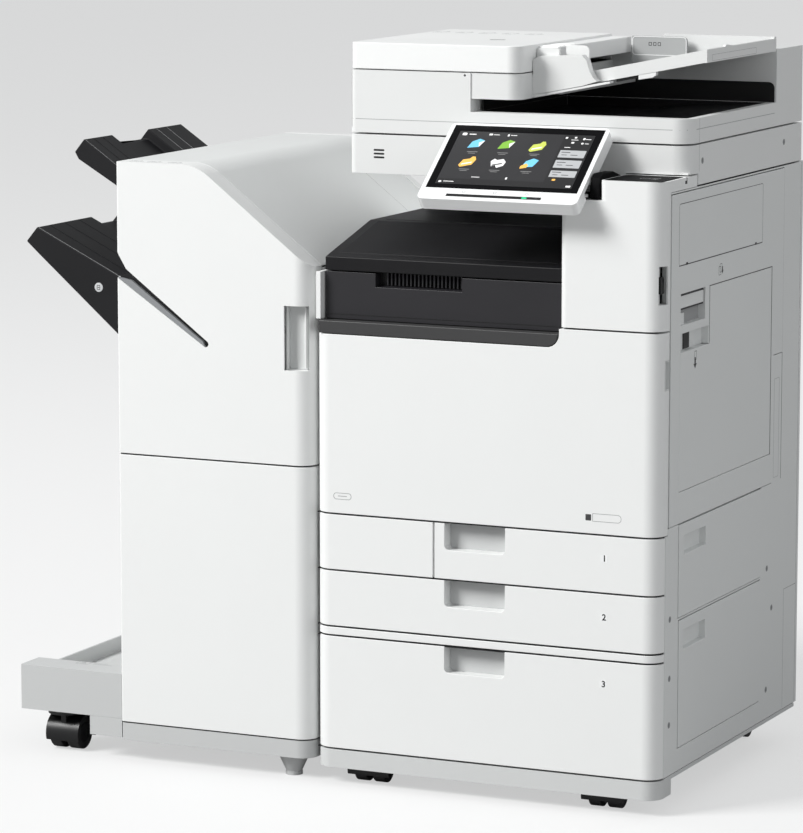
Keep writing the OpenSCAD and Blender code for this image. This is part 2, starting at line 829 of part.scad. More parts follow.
module finisher_door() {
    low = finisher_split + gap;
    handle_x = [-52, -12];
    handle_z = [674, 779];
    color(white) placed() difference() {
        union() {
            difference() {
                intersection() {
                    along_y([0, door_depth]) finisher_profile(low, 0);
                    translate([0, 0, low]) linear_extrude(500) finisher_plan(door_depth, 0);
                }
                intersection() {
                    along_y([wall, door_depth + 1]) finisher_profile(low + wall, wall);
                    translate([0, 0, low]) linear_extrude(500)
                        finisher_plan(door_depth + 1, wall);
                }
            }
            block([handle_x[0] - wall, handle_x[1]], [12, 26], [handle_z[0] - wall,
                handle_z[1] + wall]);
        }
        block(handle_x, [-1, 23], handle_z);
        along_y([-1, 7]) polygon([[-331, 818], [-190, 712], [-188.5, 708], [-191, 704.5],
            [-195, 703], [finisher_x - 1, 811]]);
        along_y([-1, door_depth + 1]) polygon([[finisher_x - 1, 855], [-340, 825],
            [-331, 818], [-334, 812], [finisher_x - 1, 811]]);
    }
}

module finisher_lower_panel() {
    low = kick_z + gap;
    high = finisher_split - gap;
    color(white) placed() difference() {
        translate([0, 0, low]) linear_extrude(high - low) finisher_plan(door_depth, 0);
        translate([0, 0, low + wall]) linear_extrude(high - low - 2 * wall)
            finisher_plan(door_depth + 1, wall);
    }
}

module finisher_top_cover() {
    color(white) placed() along_y([door_depth + gap, 618]) difference() {
        finisher_profile(slope_z - 6, 0);
        finisher_profile(slope_z - 20, wall);
        translate([finisher_x - 1, slope_z - 20]) square([1 + wall, finisher_top - slope_z + 17]);
        translate([finisher_right - 20, slope_z - 20]) square([30, 19]);
    }
}

module finisher_side_covers() {
    color(grey) placed() {
        difference() {
            block([finisher_x, finisher_x + wall], [door_depth + gap, 622],
                [kick_z + gap, finisher_top - wall - 0.5]);
            for (slot = [[774, 796], [952, 974]])
                block([finisher_x - 1, finisher_x + wall + 1], [112, 488], slot);
        }
        block([finisher_right - wall, finisher_right], [door_depth + gap, 622],
            [kick_z + gap, slope_z - 4]);
        difference() {
            along_y([622, finisher_d]) finisher_profile(kick_z + gap, 0);
            along_y([621, finisher_d - wall]) finisher_profile(kick_z + gap + wall, wall);
        }
    }
}

// An output tray: a sloping top on two side walls, open below, with a trough along it.
module output_tray(root_z, tip, nose, hollow, trough_y) {
    root = finisher_x - 2;
    color([0.22, 0.22, 0.23]) placed() difference() {
        along_y([110, 455]) polygon(concat([[root, root_z], tip], nose));
        difference() {
            along_y([114, 451]) polygon(hollow);
            along_y([trough_y[0] - 4, trough_y[1] + 4]) polygon([[root, root_z + 1],
                [tip[0], tip[1] + 1], [tip[0] - 30, tip[1]], [tip[0] - 30, tip[1] - 22],
                [tip[0], tip[1] - 22], [root, root_z - 22]]);
        }
        along_y(trough_y) polygon([[root + 1, root_z + 1], [tip[0], tip[1] + 1],
            [tip[0] - 30, tip[1] + 1], [tip[0] - 30, tip[1] - 18],
            [tip[0], tip[1] - 18], [root + 1, root_z - 18]]);
    }
}

module upper_tray() {
    root_z = 944;
    output_tray(root_z, [-477, 1024],
        [[-495, 1002], [-488, 990], [-419, 950], [finisher_x - 2, root_z - 29]],
        [[finisher_x - 6, root_z - 6], [-475, 1016], [-489, 1000], [-484, 800],
        [finisher_x - 6, 800]], [207, 335]);
}

module lower_tray() {
    root_z = 771;
    output_tray(root_z, [-569, 873],
        [[-590, 848], [-566, 827], [-419, 701], [finisher_x - 2, 650]],
        [[finisher_x - 6, root_z - 7], [-566, 864], [-583, 846], [-572, 600],
        [finisher_x - 6, 600]], [297, 400]);
}

module outrigger_base() {
    outer = -549;
    arch = -418;
    color(white) placed() {
        difference() {
            translate([0, 0, finisher_base]) linear_extrude(29) finisher_plan(620, 1);
            translate([0, 0, finisher_base - 1]) linear_extrude(24) finisher_plan(617, 4);
        }
        for (y = [2, 562]) {
            difference() {
                block([outer, finisher_x], [y, y + 60], [70, 146]);
                block([outer + wall, finisher_x - wall], [y + wall, y + 57], [73, 143]);
            }
            block([arch, finisher_x], [y, y + 60], [38, 70 - seam]);
        }
        along_y([62 + seam, 562 - seam]) polygon([[finisher_x, 132], [finisher_x, 140],
            [outer + 4 + seam, 104], [outer + 4 + seam, 96]]);
        block([outer, outer + 4], [62 + seam, 562 - seam], [96, 130]);
    }
    color(black) placed() {
        for (x = [-512, -458, -82, -38]) difference() {
            block([x, x + 6], [finisher_rear_y - 12, finisher_rear_y + 12],
                [finisher_wheel_r - 10, x < finisher_x ? 70 : 58]);
            rod_x([x - 1, x + 7], finisher_rear_y, finisher_wheel_r, 4 + clear);
        }
        for (foot = [[-330, 150], [-54, 36]]) {
            translate([foot[0], foot[1], 0]) cylinder(h = 6, r = 14);
            translate([foot[0], foot[1], 6]) cylinder(h = 52, r = 5);
        }
        translate([-54, 36, 6]) cylinder(h = 30, r1 = 13, r2 = 27);
    }
}

module exit_rollers() {
    color(black) placed() {
        rod_y(-346, 778, [46, 619], 3);
        for (y = [160, 260, 360, 430]) rod_y(-346, 778, [y, y + 24], 7);
    }
}

// ---- casters ----

module left_caster_fork() {
    placed() caster_fork(caster_spots[0], caster_trail, 52, wheel_r, 36);
}

module left_caster_wheels() {
    placed() caster_wheels(caster_spots[0], caster_trail, wheel_r);
}

module right_caster_fork() {
    placed() caster_fork(caster_spots[1], caster_trail, 52, wheel_r, 36);
}

module right_caster_wheels() {
    placed() caster_wheels(caster_spots[1], caster_trail, wheel_r);
}

module rear_wheels() {
    color(black) placed() {
        rod_x([58, 542], rear_wheel_y, wheel_r, 4);
        for (x = [67.5, 507.5]) rod_x([x, x + 25], rear_wheel_y, wheel_r, wheel_r);
    }
}

module finisher_caster_fork() {
    placed() caster_fork(finisher_caster, finisher_trail, 70, finisher_wheel_r, 30);
}

module finisher_caster_wheels() {
    placed() caster_wheels(finisher_caster, finisher_trail, finisher_wheel_r);
}

module finisher_rear_wheels() {
    color(black) placed() {
        rod_x([-514, -30], finisher_rear_y, finisher_wheel_r, 4);
        for (x = [-500, -70]) rod_x([x, x + 26], finisher_rear_y, finisher_wheel_r,
            finisher_wheel_r);
    }
}

main_frame();
base_plinth();
rear_cover();
left_cover();
right_side_cover();
upper_right_cover();
divider_trim();
output_lip();
buffer_body();
buffer_lid();
front_cover();
toner_bottle();
drum_roller();
fixing_roller();
waste_toner_door();
drawer_1_front();
drawer_1_tray();
drawer_1_lift_plate();
drawer_2_front();
drawer_2_tray();
drawer_2_lift_plate();
drawer_3_front();
drawer_3_tray();
drawer_3_lift_plate();
right_door();
bypass_tray();
bypass_extension();
door_lever();
lower_right_door();
cassette_unit_door();
power_switch();
reader_body();
platen_glass();
scan_carriage();
feeder_body();
feeder_cover();
document_tray();
front_side_guide();
rear_side_guide();
feed_roller();
panel_arm();
control_panel();
touch_screen();
finisher_frame();
finisher_door();
finisher_lower_panel();
finisher_top_cover();
finisher_side_covers();
upper_tray();
lower_tray();
outrigger_base();
exit_rollers();
left_caster_fork();
left_caster_wheels();
right_caster_fork();
right_caster_wheels();
rear_wheels();
finisher_caster_fork();
finisher_caster_wheels();
finisher_rear_wheels();
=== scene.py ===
"""Office photocopier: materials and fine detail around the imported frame."""
import math
import bmesh
import bpy
from mathutils import Matrix, Vector


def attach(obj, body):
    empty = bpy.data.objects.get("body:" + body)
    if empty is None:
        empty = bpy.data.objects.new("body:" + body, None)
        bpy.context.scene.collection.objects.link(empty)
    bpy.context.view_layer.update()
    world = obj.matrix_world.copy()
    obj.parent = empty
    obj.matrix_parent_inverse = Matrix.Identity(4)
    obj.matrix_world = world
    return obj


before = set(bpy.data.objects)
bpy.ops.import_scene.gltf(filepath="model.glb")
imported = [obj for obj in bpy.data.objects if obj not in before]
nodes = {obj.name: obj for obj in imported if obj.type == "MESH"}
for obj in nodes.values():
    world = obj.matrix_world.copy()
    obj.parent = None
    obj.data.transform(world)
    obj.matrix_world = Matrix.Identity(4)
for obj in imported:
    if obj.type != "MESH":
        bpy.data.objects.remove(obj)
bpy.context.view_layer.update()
scene = bpy.context.scene

# The frame is centred under the machine. Lengths below are in millimetres from the
# copier's own corner: X from its left side, Y from its front covers, Z from the floor.
CENTRE = Vector((0.005, 0.300, 0.0))


def at(x, y, z):
    return Vector((x, y, z)) / 1000 - CENTRE


# ---- camera and light ----

EYE = at(2908, -5946, 1610)
TURN = math.radians(24.83)
PITCH = math.radians(-8.66)
camera = bpy.data.objects.new("camera", bpy.data.cameras.new("camera"))
scene.collection.objects.link(camera)
camera.location = EYE
camera.rotation_euler = (math.pi / 2 + PITCH, 0, TURN)
camera.data.lens = 179.7
camera.data.sensor_width = 36
camera.data.clip_end = 200
scene.camera = camera


def area_light(name, place, target, size, power, tint=(1, 1, 1)):
    lamp = bpy.data.objects.new(name, bpy.data.lights.new(name, "AREA"))
    scene.collection.objects.link(lamp)
    lamp.location = place
    lamp.rotation_euler = (Vector(target) - Vector(place)).to_track_quat("-Z", "Y").to_euler()
    lamp.data.size = size
    lamp.data.energy = power
    lamp.data.color = tint


area_light("key", (-5.8, -6.3, 7.5), (0, 0, 0.7), 4.1, 1390, (1, 0.998, 0.99))
area_light("side", (5.2, -1.8, 2.0), (0.3, 0, 0.7), 3.2, 47, (0.985, 0.99, 1))
area_light("back", (1.6, 5.0, 3.2), (0, 0, 0.8), 3.0, 40)
world = bpy.data.worlds.new("world")
scene.world = world
world.use_nodes = True
world.node_tree.nodes["Background"].inputs["Color"].default_value = (0.97, 0.985, 1, 1)
world.node_tree.nodes["Background"].inputs["Strength"].default_value = 0.36
scene.view_settings.view_transform = "Standard"

# ---- materials ----

# How much the fine grain, against the slow mottle, changes a surface's colour and gloss.
GRAIN_SHARE = 0.45


def material(name, colour, rough=0.45, grain=0.0, grain_size=0.6, spread=0.03, mottle=0.05,
             metal=0.0, specular=0.5, coat=0.0, glow=0.0, brushed=None):
    """A procedural surface: moulded grain as bump, slow mottle in colour and gloss.

    Grain is the bump's height and grain_size its width, both in millimetres.
    """
    m = bpy.data.materials.new(name)
    m.use_nodes = True
    tree = m.node_tree
    shader = tree.nodes["Principled BSDF"]
    put = tree.links.new

    def node(kind, **values):
        n = tree.nodes.new(kind)
        for key, value in values.items():
            n.inputs[key].default_value = value
        return n

    place = tree.nodes.new("ShaderNodeTexCoord").outputs["Object"]
    if brushed is not None:
        stretch = node("ShaderNodeMapping")
        stretch.inputs["Scale"].default_value = brushed
        put(place, stretch.inputs["Vector"])
        place = stretch.outputs["Vector"]
    slow = node("ShaderNodeTexNoise", Scale=7.0, Detail=4.0, Roughness=0.6)
    put(place, slow.inputs["Vector"])
    fine = node("ShaderNodeTexNoise", Scale=1000 / grain_size, Detail=3.0, Roughness=0.55)
    put(place, fine.inputs["Vector"])
    blend = tree.nodes.new("ShaderNodeMix")
    blend.data_type = "RGBA"
    low = [max(c * (1 - spread), 0) for c in colour[:3]] + [1]
    high = [min(c * (1 + spread), 1) for c in colour[:3]] + [1]
    blend.inputs["A"].default_value = low
    blend.inputs["B"].default_value = high
    mixed = node("ShaderNodeMath")
    mixed.operation = "MULTIPLY_ADD"
    mixed.inputs[1].default_value = GRAIN_SHARE
    put(fine.outputs["Fac"], mixed.inputs[0])
    scaled = node("ShaderNodeMath")
    scaled.operation = "MULTIPLY"
    scaled.inputs[1].default_value = 1 - GRAIN_SHARE
    put(slow.outputs["Fac"], scaled.inputs[0])
    put(scaled.outputs[0], mixed.inputs[2])
    put(mixed.outputs[0], blend.inputs["Factor"])
    put(blend.outputs["Result"], shader.inputs["Base Color"])
    gloss = node("ShaderNodeMapRange")
    gloss.inputs["From Min"].default_value = 0.3
    gloss.inputs["From Max"].default_value = 0.7
    gloss.inputs["To Min"].default_value = max(rough - mottle, 0.02)
    gloss.inputs["To Max"].default_value = min(rough + mottle, 1)
    put(mixed.outputs[0], gloss.inputs["Value"])
    put(gloss.outputs["Result"], shader.inputs["Roughness"])
    if grain > 0:
        bump = node("ShaderNodeBump", Strength=0.6, Distance=grain / 1000)
        put(fine.outputs["Fac"], bump.inputs["Height"])
        put(bump.outputs["Normal"], shader.inputs["Normal"])
    shader.inputs["Metallic"].default_value = metal
    shader.inputs["Specular IOR Level"].default_value = specular
    shader.inputs["Coat Weight"].default_value = coat
    if glow > 0:
        put(blend.outputs["Result"], shader.inputs["Emission Color"])
        shader.inputs["Emission Strength"].default_value = glow
    m.diffuse_color = list(colour[:3]) + [1]
    return m


WHITE = material("body_white", (0.83, 0.84, 0.835), 0.44, 0.05, 0.7, 0.015)
# A darker copy of the body white: painted shade on the reader, the feeder body and the document
# tray.
READER_PAINTED_SHADE = material("reader_painted_shade", (0.765, 0.775, 0.77), 0.44, 0.05, 0.7, 0.015)
# A lighter copy of the body white: painted light on the feeder cover's top.
FEEDER_TOP_PAINTED_LIGHT = material("cover_painted_light", (0.88, 0.89, 0.885), 0.44, 0.05, 0.7, 0.015)
# A darker copy of the body white: painted shade on the plinth.
PLINTH_PAINTED_SHADE = material("plinth_painted_shade", (0.62, 0.632, 0.63), 0.46, 0.05, 0.7, 0.015)
# Painted shade: a grey for the backs of the drawers' grips, where the recess lies in shade.
GRIP_PAINTED_SHADE = material("grip_painted_shade", (0.56, 0.57, 0.57), 0.46, 0.05, 0.7, 0.015)
# A darker copy of the body white: painted shade on the right side and rear covers, the sloping
# finisher top, and in grips, wells and steps.
PAINTED_SHADE = material("body_painted_shade", (0.74, 0.755, 0.75), 0.46, 0.05, 0.7, 0.015)
GLOSSY = material("panel_white", (0.90, 0.91, 0.91), 0.2, spread=0.01, mottle=0.04, coat=0.3)
DARK = material("dark_plastic", (0.0165, 0.0158, 0.019), 0.42, 0.06, 0.8, 0.12)
LIP = material("lip_grey", (0.044, 0.044, 0.045), 0.42, 0.05, 0.8, 0.08)
CHARCOAL = material("tray_charcoal", (0.0125, 0.0125, 0.0138), 0.5, 0.06, 0.9, 0.12,
                    specular=0.2)
# A darker copy of the dark plastic: painted shade on the buffer lid, which lies in the finisher's
# shadow.
LID_PAINTED_SHADE = material("lid_painted_shade", (0.0075, 0.0073, 0.0085), 0.46, 0.06, 0.8, 0.12, specular=0.25)
BLACK = material("black_plastic", (0.006, 0.006, 0.0066), 0.4, 0.04, 0.7, 0.15)
MATT = material("matt_black", (0.005, 0.005, 0.0055), 0.6, 0.04, 0.7, 0.15, specular=0.04)
BIN = material("bin_grey", (0.25, 0.26, 0.27), 0.5, 0.06, 0.8, 0.05)
GLASSY = material("screen_glass", (0.003, 0.003, 0.0036), 0.14, spread=0.1, mottle=0.02,
                  specular=0.14)
STEEL = material("frame_steel", (0.55, 0.56, 0.57), 0.34, 0.02, 1.2, 0.06, 0.08, 1.0,
                 brushed=(1, 1, 0.06))
RUBBER = material("roller_rubber", (0.03, 0.03, 0.032), 0.75, 0.1, 0.9, 0.15)
TREAD = material("wheel_rubber", (0.02, 0.02, 0.021), 0.6, 0.08, 0.9, 0.15)
TONER = material("toner_bottle", (0.05, 0.052, 0.06), 0.35, 0.04, 0.8, 0.1)
DRUM = material("drum_coating", (0.05, 0.25, 0.22), 0.12, spread=0.06, mottle=0.03, coat=0.5)
FUSER = material("fuser_coating", (0.32, 0.13, 0.07), 0.5, 0.03, 0.8, 0.08)
PRINT = material("print_grey", (0.045, 0.045, 0.047), 0.6, 0.02, 0.6, 0.1)
GREEN = material("catch_green", (0.03, 0.28, 0.12), 0.4, 0.04, 0.7, 0.05)
BLUE = material("cap_blue", (0.03, 0.14, 0.42), 0.4, 0.04, 0.7, 0.05)
GLOW = material("lamp_glow", (0.85, 0.9, 0.95), 0.4, glow=0.4)
LIGHT_PLUG = material("light_plug", (0.55, 0.56, 0.57), 0.4, 0.03, 0.7, 0.05)
PLUG = material("grey_plug", (0.2, 0.205, 0.21), 0.4, 0.03, 0.7, 0.05)
# Greys below the tray's white: painted shade on the document tray's bed and its rear guide, which
# light does not reach.
BED_PAINTED_SHADE = material("bed_painted_shade", (0.36, 0.365, 0.37), 0.46, 0.05, 0.7, 0.02)
GUIDE_PAINTED_SHADE = material("guide_painted_shade", (0.42, 0.43, 0.43), 0.44, 0.05, 0.7, 0.02)
# A darker copy of the body white: painted shade on the outrigger, whose top lies under the trays.
OUTRIGGER_PAINTED_SHADE = material("outrigger_painted_shade", (0.55, 0.56, 0.56), 0.46, 0.05, 0.7, 0.02)
UI_GREY = material("screen_page_grey", (0.024, 0.024, 0.026), 0.35, spread=0.1, mottle=0.02,
                   glow=0.25)
UI_DARK = material("screen_dark", (0.016, 0.016, 0.017), 0.35, spread=0.1, mottle=0.02, glow=0.2)
UI_WHITE = material("screen_white", (0.78, 0.78, 0.78), 0.4, mottle=0.02, glow=0.25)
UI_LIGHT = material("screen_card", (0.42, 0.43, 0.44), 0.4, spread=0.1, mottle=0.02, glow=0.2)
UI_SOFT = material("screen_soft", (0.22, 0.22, 0.22), 0.4, mottle=0.02, glow=0.2)
UI_SKY = material("screen_sky", (0.16, 0.52, 0.78), 0.4, spread=0.25, mottle=0.02, glow=0.3)
UI_LEAF = material("screen_leaf", (0.2, 0.44, 0.05), 0.4, spread=0.25, mottle=0.02, glow=0.3)
UI_LIME = material("screen_lime", (0.5, 0.56, 0.1), 0.4, spread=0.25, mottle=0.02, glow=0.3)
UI_AMBER = material("screen_amber", (0.85, 0.46, 0.1), 0.4, spread=0.25, mottle=0.02, glow=0.3)
UI_LED = material("panel_led", (0.02, 0.5, 0.22), 0.4, mottle=0.02, glow=0.9)
SEAM_GREY = material("seam_grey", (0.16, 0.16, 0.165), 0.6, 0.02, 0.6, 0.05)
# A soft grey for print and grooves, also used for a painted shadow in the lever recess and painted
# highlights along the trays' edges.
SOFT_PRINT_AND_PAINTED_LIGHT = material("soft_print_and_painted_light", (0.36, 0.365, 0.37), 0.6, 0.02, 0.6, 0.05)


def glass():
    m = material("plate_glass", (0.78, 0.88, 0.86), 0.03, spread=0.02, mottle=0.01)
    m.node_tree.nodes["Principled BSDF"].inputs["Transmission Weight"].default_value = 0.9
    m.node_tree.nodes["Principled BSDF"].inputs["IOR"].default_value = 1.5
    return m


GLASS = glass()

# ---- the imported nodes: softened edges and finishes ----

# Some finishes here are lighter or darker copies of the body white that paint light and shade.
FINISH = {
    WHITE: ["divider_trim", "left_cover", "upper_right_cover", "front_cover",
            "waste_toner_door", "drawer_1_front", "drawer_2_front", "drawer_3_front",
            "front_side_guide", "finisher_door", "finisher_lower_panel",
            "finisher_side_covers"],
    READER_PAINTED_SHADE: ["reader_body", "feeder_body", "document_tray"],
    FEEDER_TOP_PAINTED_LIGHT: ["feeder_cover"],
    PLINTH_PAINTED_SHADE: ["base_plinth"],
    GUIDE_PAINTED_SHADE: ["rear_side_guide"],
    OUTRIGGER_PAINTED_SHADE: ["outrigger_base"],
    PAINTED_SHADE: ["finisher_top_cover", "right_side_cover", "right_door", "bypass_tray",
            "lower_right_door", "cassette_unit_door", "rear_cover"],
    GLOSSY: ["control_panel"],
    DARK: ["buffer_body", "door_lever"],
    LID_PAINTED_SHADE: ["buffer_lid"],
    LIP: ["output_lip"],
    CHARCOAL: ["upper_tray", "lower_tray"],
    BIN: ["drawer_1_tray", "drawer_2_tray", "drawer_3_tray", "bypass_extension"],
    BLACK: ["panel_arm", "power_switch", "scan_carriage", "left_caster_fork",
            "right_caster_fork", "finisher_caster_fork"],
    GLASSY: ["touch_screen"],
    GLASS: ["platen_glass"],
    STEEL: ["main_frame", "finisher_frame", "drawer_1_lift_plate", "drawer_2_lift_plate",
            "drawer_3_lift_plate"],
    TONER: ["toner_bottle"],
    DRUM: ["drum_roller"],
    FUSER: ["fixing_roller"],
    RUBBER: ["feed_roller", "exit_rollers"],
    TREAD: ["left_caster_wheels", "right_caster_wheels", "rear_wheels",
            "finisher_caster_wheels", "finisher_rear_wheels"],
}
SOFT_EDGE = {"main_frame": 0, "finisher_frame": 0, "output_lip": 2.5, "buffer_lid": 1.5,
             "control_panel": 2.2, "touch_screen": 0, "platen_glass": 0.3, "feeder_cover": 2.2,
             "reader_body": 1.6, "feeder_body": 1.4, "document_tray": 1.2, "upper_tray": 2.0,
             "lower_tray": 2.0, "finisher_top_cover": 1.2, "finisher_door": 1.2}


WELD_GAP = 0.00002
FLAT_ANGLE = 0.4
EDGE_ANGLE = 32


def soften(o, width):
    weld = o.modifiers.new("weld", "WELD")
    weld.merge_threshold = WELD_GAP
    flat = o.modifiers.new("flat", "DECIMATE")
    flat.decimate_type = "DISSOLVE"
    flat.angle_limit = math.radians(FLAT_ANGLE)
    if width > 0:
        round_off = o.modifiers.new("round", "BEVEL")
        round_off.width = width / 1000
        round_off.segments = 3
        round_off.limit_method = "ANGLE"
        round_off.angle_limit = math.radians(EDGE_ANGLE)
        round_off.harden_normals = False
    even = o.modifiers.new("even", "WEIGHTED_NORMAL")
    even.keep_sharp = True
    even.weight = 80


for finish, names in FINISH.items():
    for name in names:
        o = nodes[name]
        o.data.materials.clear()
        o.data.materials.append(finish)
        o.data.polygons.foreach_set("use_smooth", [True] * len(o.data.polygons))
        soften(o, SOFT_EDGE.get(name, 0.8))

# ---- shapes ----


def rounded(x, y, r, steps=5):
    """A rectangle with rounded corners; r is one radius or four, from the low corner on round."""
    radii = r if isinstance(r, (list, tuple)) else [r] * 4
    corners = [(x[0], y[0], 180), (x[1], y[0], 270), (x[1], y[1], 0), (x[0], y[1], 90)]
    out = []
    for (cx, cy, start), radius in zip(corners, radii):
        if radius <= 0:
            out.append((cx, cy))
            continue
        mx = cx + radius * (1 if cx == x[0] else -1)
        my = cy + radius * (1 if cy == y[0] else -1)
        for i in range(steps + 1):
            turn = math.radians(start + 90 * i / steps)
            out.append((mx + radius * math.cos(turn), my + radius * math.sin(turn)))
    return out


def circle(x, y, r, steps=24):
    return [(x + r * math.cos(2 * math.pi * i / steps), y + r * math.sin(2 * math.pi * i / steps))
            for i in range(steps)]


def prism(outline, axis, ends):
    """The outline, in the two directions left over, drawn out along one axis."""
    spread = {"x": lambda u, v, w: (w, u, v), "y": lambda u, v, w: (u, w, v),
              "z": lambda u, v, w: (u, v, w)}[axis]
    bm = bmesh.new()
    rings = [[bm.verts.new(spread(u, v, w)) for u, v in outline] for w in ends]
    bm.faces.new(rings[0])
    bm.faces.new(list(reversed(rings[1])))
    for i in range(len(outline)):
        j = (i + 1) % len(outline)
        bm.faces.new((rings[0][i], rings[0][j], rings[1][j], rings[1][i]))
    bmesh.ops.recalc_face_normals(bm, faces=bm.faces)
    return bm


def slab(x, y, z):
    return prism([(x[0], y[0]), (x[1], y[0]), (x[1], y[1]), (x[0], y[1])], "z", z)


def turned(profile, axis, spot, steps=32):
    """A profile of (radius, distance) pairs, turned about an axis through spot."""
    spread = {"x": lambda c, s, w: (w, spot[1] + c, spot[2] + s),
              "y": lambda c, s, w: (spot[0] + c, w, spot[2] + s),
              "z": lambda c, s, w: (spot[0] + c, spot[1] + s, w)}[axis]
    bm = bmesh.new()
    rings = []
    for radius, along in profile:
        rings.append([bm.verts.new(spread(radius * math.cos(2 * math.pi * i / steps),
                                          radius * math.sin(2 * math.pi * i / steps), along))
                      for i in range(steps)])
    for low, high in zip(rings, rings[1:]):
        for i in range(steps):
            j = (i + 1) % steps
            bm.faces.new((low[i], low[j], high[j], high[i]))
    bm.faces.new(rings[0])
    bm.faces.new(list(reversed(rings[-1])))
    bmesh.ops.recalc_face_normals(bm, faces=bm.faces)
    return bm


def thick(path, inner, outer):
    """The outline of a band that follows a path, from inner to outer beside it."""
    count = len(path)
    sides = ([], [])
    for i, (x, y) in enumerate(path):
        before = path[max(i - 1, 0)]
        after = path[min(i + 1, count - 1)]
        dx, dy = after[0] - before[0], after[1] - before[1]
        size = math.hypot(dx, dy)
        for side, reach in zip(sides, (inner, outer)):
            side.append((x + dy / size * reach, y - dx / size * reach))
    return sides[0] + sides[1][::-1]


def bevelled(bm, width, segments=2):
    edges = [e for e in bm.edges if len(e.link_faces) == 2
             and e.calc_face_angle(0) > math.radians(EDGE_ANGLE)]
    bmesh.ops.bevel(bm, geom=edges, offset=width, segments=segments, profile=0.5,
                    affect="EDGES", clamp_overlap=True)
    return bm


def merged(shapes):
    whole = bmesh.new()
    for shape in shapes:
        part = bpy.data.meshes.new("part")
        shape.to_mesh(part)
        shape.free()
        whole.from_mesh(part)
        bpy.data.meshes.remove(part)
    return whole


def cut(bm, *cutters):
    """The shape with the cutters taken away."""
    held = []
    for shape in (bm, *cutters):
        mesh = bpy.data.meshes.new("cut")
        shape.to_mesh(mesh)
        shape.free()
        o = bpy.data.objects.new("cut", mesh)
        scene.collection.objects.link(o)
        held.append(o)
    for tool in held[1:]:
        step = held[0].modifiers.new("cut", "BOOLEAN")
        step.operation = "DIFFERENCE"
        step.solver = "EXACT"
        step.object = tool
    left = bpy.data.meshes.new_from_object(
        held[0].evaluated_get(bpy.context.evaluated_depsgraph_get()))
    out = bmesh.new()
    out.from_mesh(left)
    bpy.data.meshes.remove(left)
    for o in held:
        mesh = o.data
        bpy.data.objects.remove(o)
        bpy.data.meshes.remove(mesh)
    bmesh.ops.remove_doubles(out, verts=out.verts, dist=0.001)
    bmesh.ops.dissolve_limit(out, angle_limit=math.radians(0.5), verts=out.verts,
                             edges=out.edges)
    return out


CREASE_ANGLE = 34


def piece(name, bm, finish, body, soft=0.0, segments=2, place=None):
    """Finishes a shape drawn in millimetres as a piece that rides on a body."""
    if soft > 0:
        bevelled(bm, soft, segments)
    for v in bm.verts:
        v.co = at(*(place @ v.co if place else v.co))
    bmesh.ops.recalc_face_normals(bm, faces=bm.faces)
    mesh = bpy.data.meshes.new(name)
    bm.to_mesh(mesh)
    bm.free()
    mesh.polygons.foreach_set("use_smooth", [True] * len(mesh.polygons))
    mesh.set_sharp_from_angle(angle=math.radians(CREASE_ANGLE))
    mesh.materials.append(finish)
    o = bpy.data.objects.new(name, mesh)
    scene.collection.objects.link(o)
    even = o.modifiers.new("even", "WEIGHTED_NORMAL")
    even.keep_sharp = True
    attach(o, body)
    return o


def black(name, bm):
    """A black piece on the machine: its own black, and painted shade in the gaps between covers and
    in vent slots.
    """
    return piece(name, bm, BLACK, "machine")


DIGIT_SIZE = 14
DIGIT_HALF = 0.08
DIGIT_WEIGHT = 0.32


def digit(name, figure, size, finish, body, place):
    """One bold numeral, drawn flat about its own middle and then placed."""
    curve = bpy.data.curves.new(name, "FONT")
    curve.body = figure
    curve.size = size
    curve.extrude = DIGIT_HALF
    curve.offset = DIGIT_WEIGHT
    curve.align_x = "CENTER"
    curve.align_y = "CENTER"
    o = bpy.data.objects.new(name, curve)
    mesh = bpy.data.meshes.new_from_object(o)
    bm = bmesh.new()
    bm.from_mesh(mesh)
    bpy.data.objects.remove(o)
    bpy.data.curves.remove(curve)
    bpy.data.meshes.remove(mesh)
    return piece(name, bm, finish, body, place=place)


FRONT = Matrix.Rotation(math.pi / 2, 4, "X")
# The document tray's bed rises to the right from this X and Z, at this rate.
BED_X, BED_Z, BED_RISE = 354, 1139, 0.2254
ON_BED = (Matrix.Translation((0, 0, BED_Z - BED_X * BED_RISE))
          @ Matrix(((1, 0, 0, 0), (0, 1, 0, 0), (BED_RISE, 0, 1, 0), (0, 0, 0, 1))))


def on_front(x, y, z):
    """A flat drawing's place on a face that looks forward."""
    return Matrix.Translation((x, y, z)) @ FRONT


def on_right(x, y, z):
    """A flat drawing's place on a face that looks to the right."""
    return Matrix.Translation((x, y, z)) @ Matrix.Rotation(math.pi / 2, 4, "Z") @ FRONT


def flat(outline, low, high):
    return prism(outline, "z", (low, high))


def hoop(outer, inner, ends):
    """A flat frame between two outlines with the same number of points."""
    bm = bmesh.new()
    rings = [[[bm.verts.new((u, v, w)) for u, v in outline] for outline in (outer, inner)]
             for w in ends]
    count = len(outer)
    for i in range(count):
        j = (i + 1) % count
        for ring in rings:
            bm.faces.new((ring[0][i], ring[0][j], ring[1][j], ring[1][i]))
        for side in (0, 1):
            bm.faces.new((rings[0][side][i], rings[0][side][j],
                          rings[1][side][j], rings[1][side][i]))
    bmesh.ops.recalc_face_normals(bm, faces=bm.faces)
    return bm


# How deep a printed mark sits in its surface and how far it stands proud of it, in two heights.
THIN = (-0.1, 0.1)
PRINTED = (-0.1, 0.12)


def outline_mark(x, y, r, width, ends=THIN):
    """A thin printed or moulded line round a rectangle."""
    inner = max(r - width, 0.1)
    return hoop(rounded(x, y, max(r, 0.2)),
                rounded((x[0] + width, x[1] - width), (y[0] + width, y[1] - width), inner), ends)


def marks(name, shapes, finish, body, place):
    """Several flat marks that make one piece."""
    return piece(name, merged(shapes), finish, body, place=place)


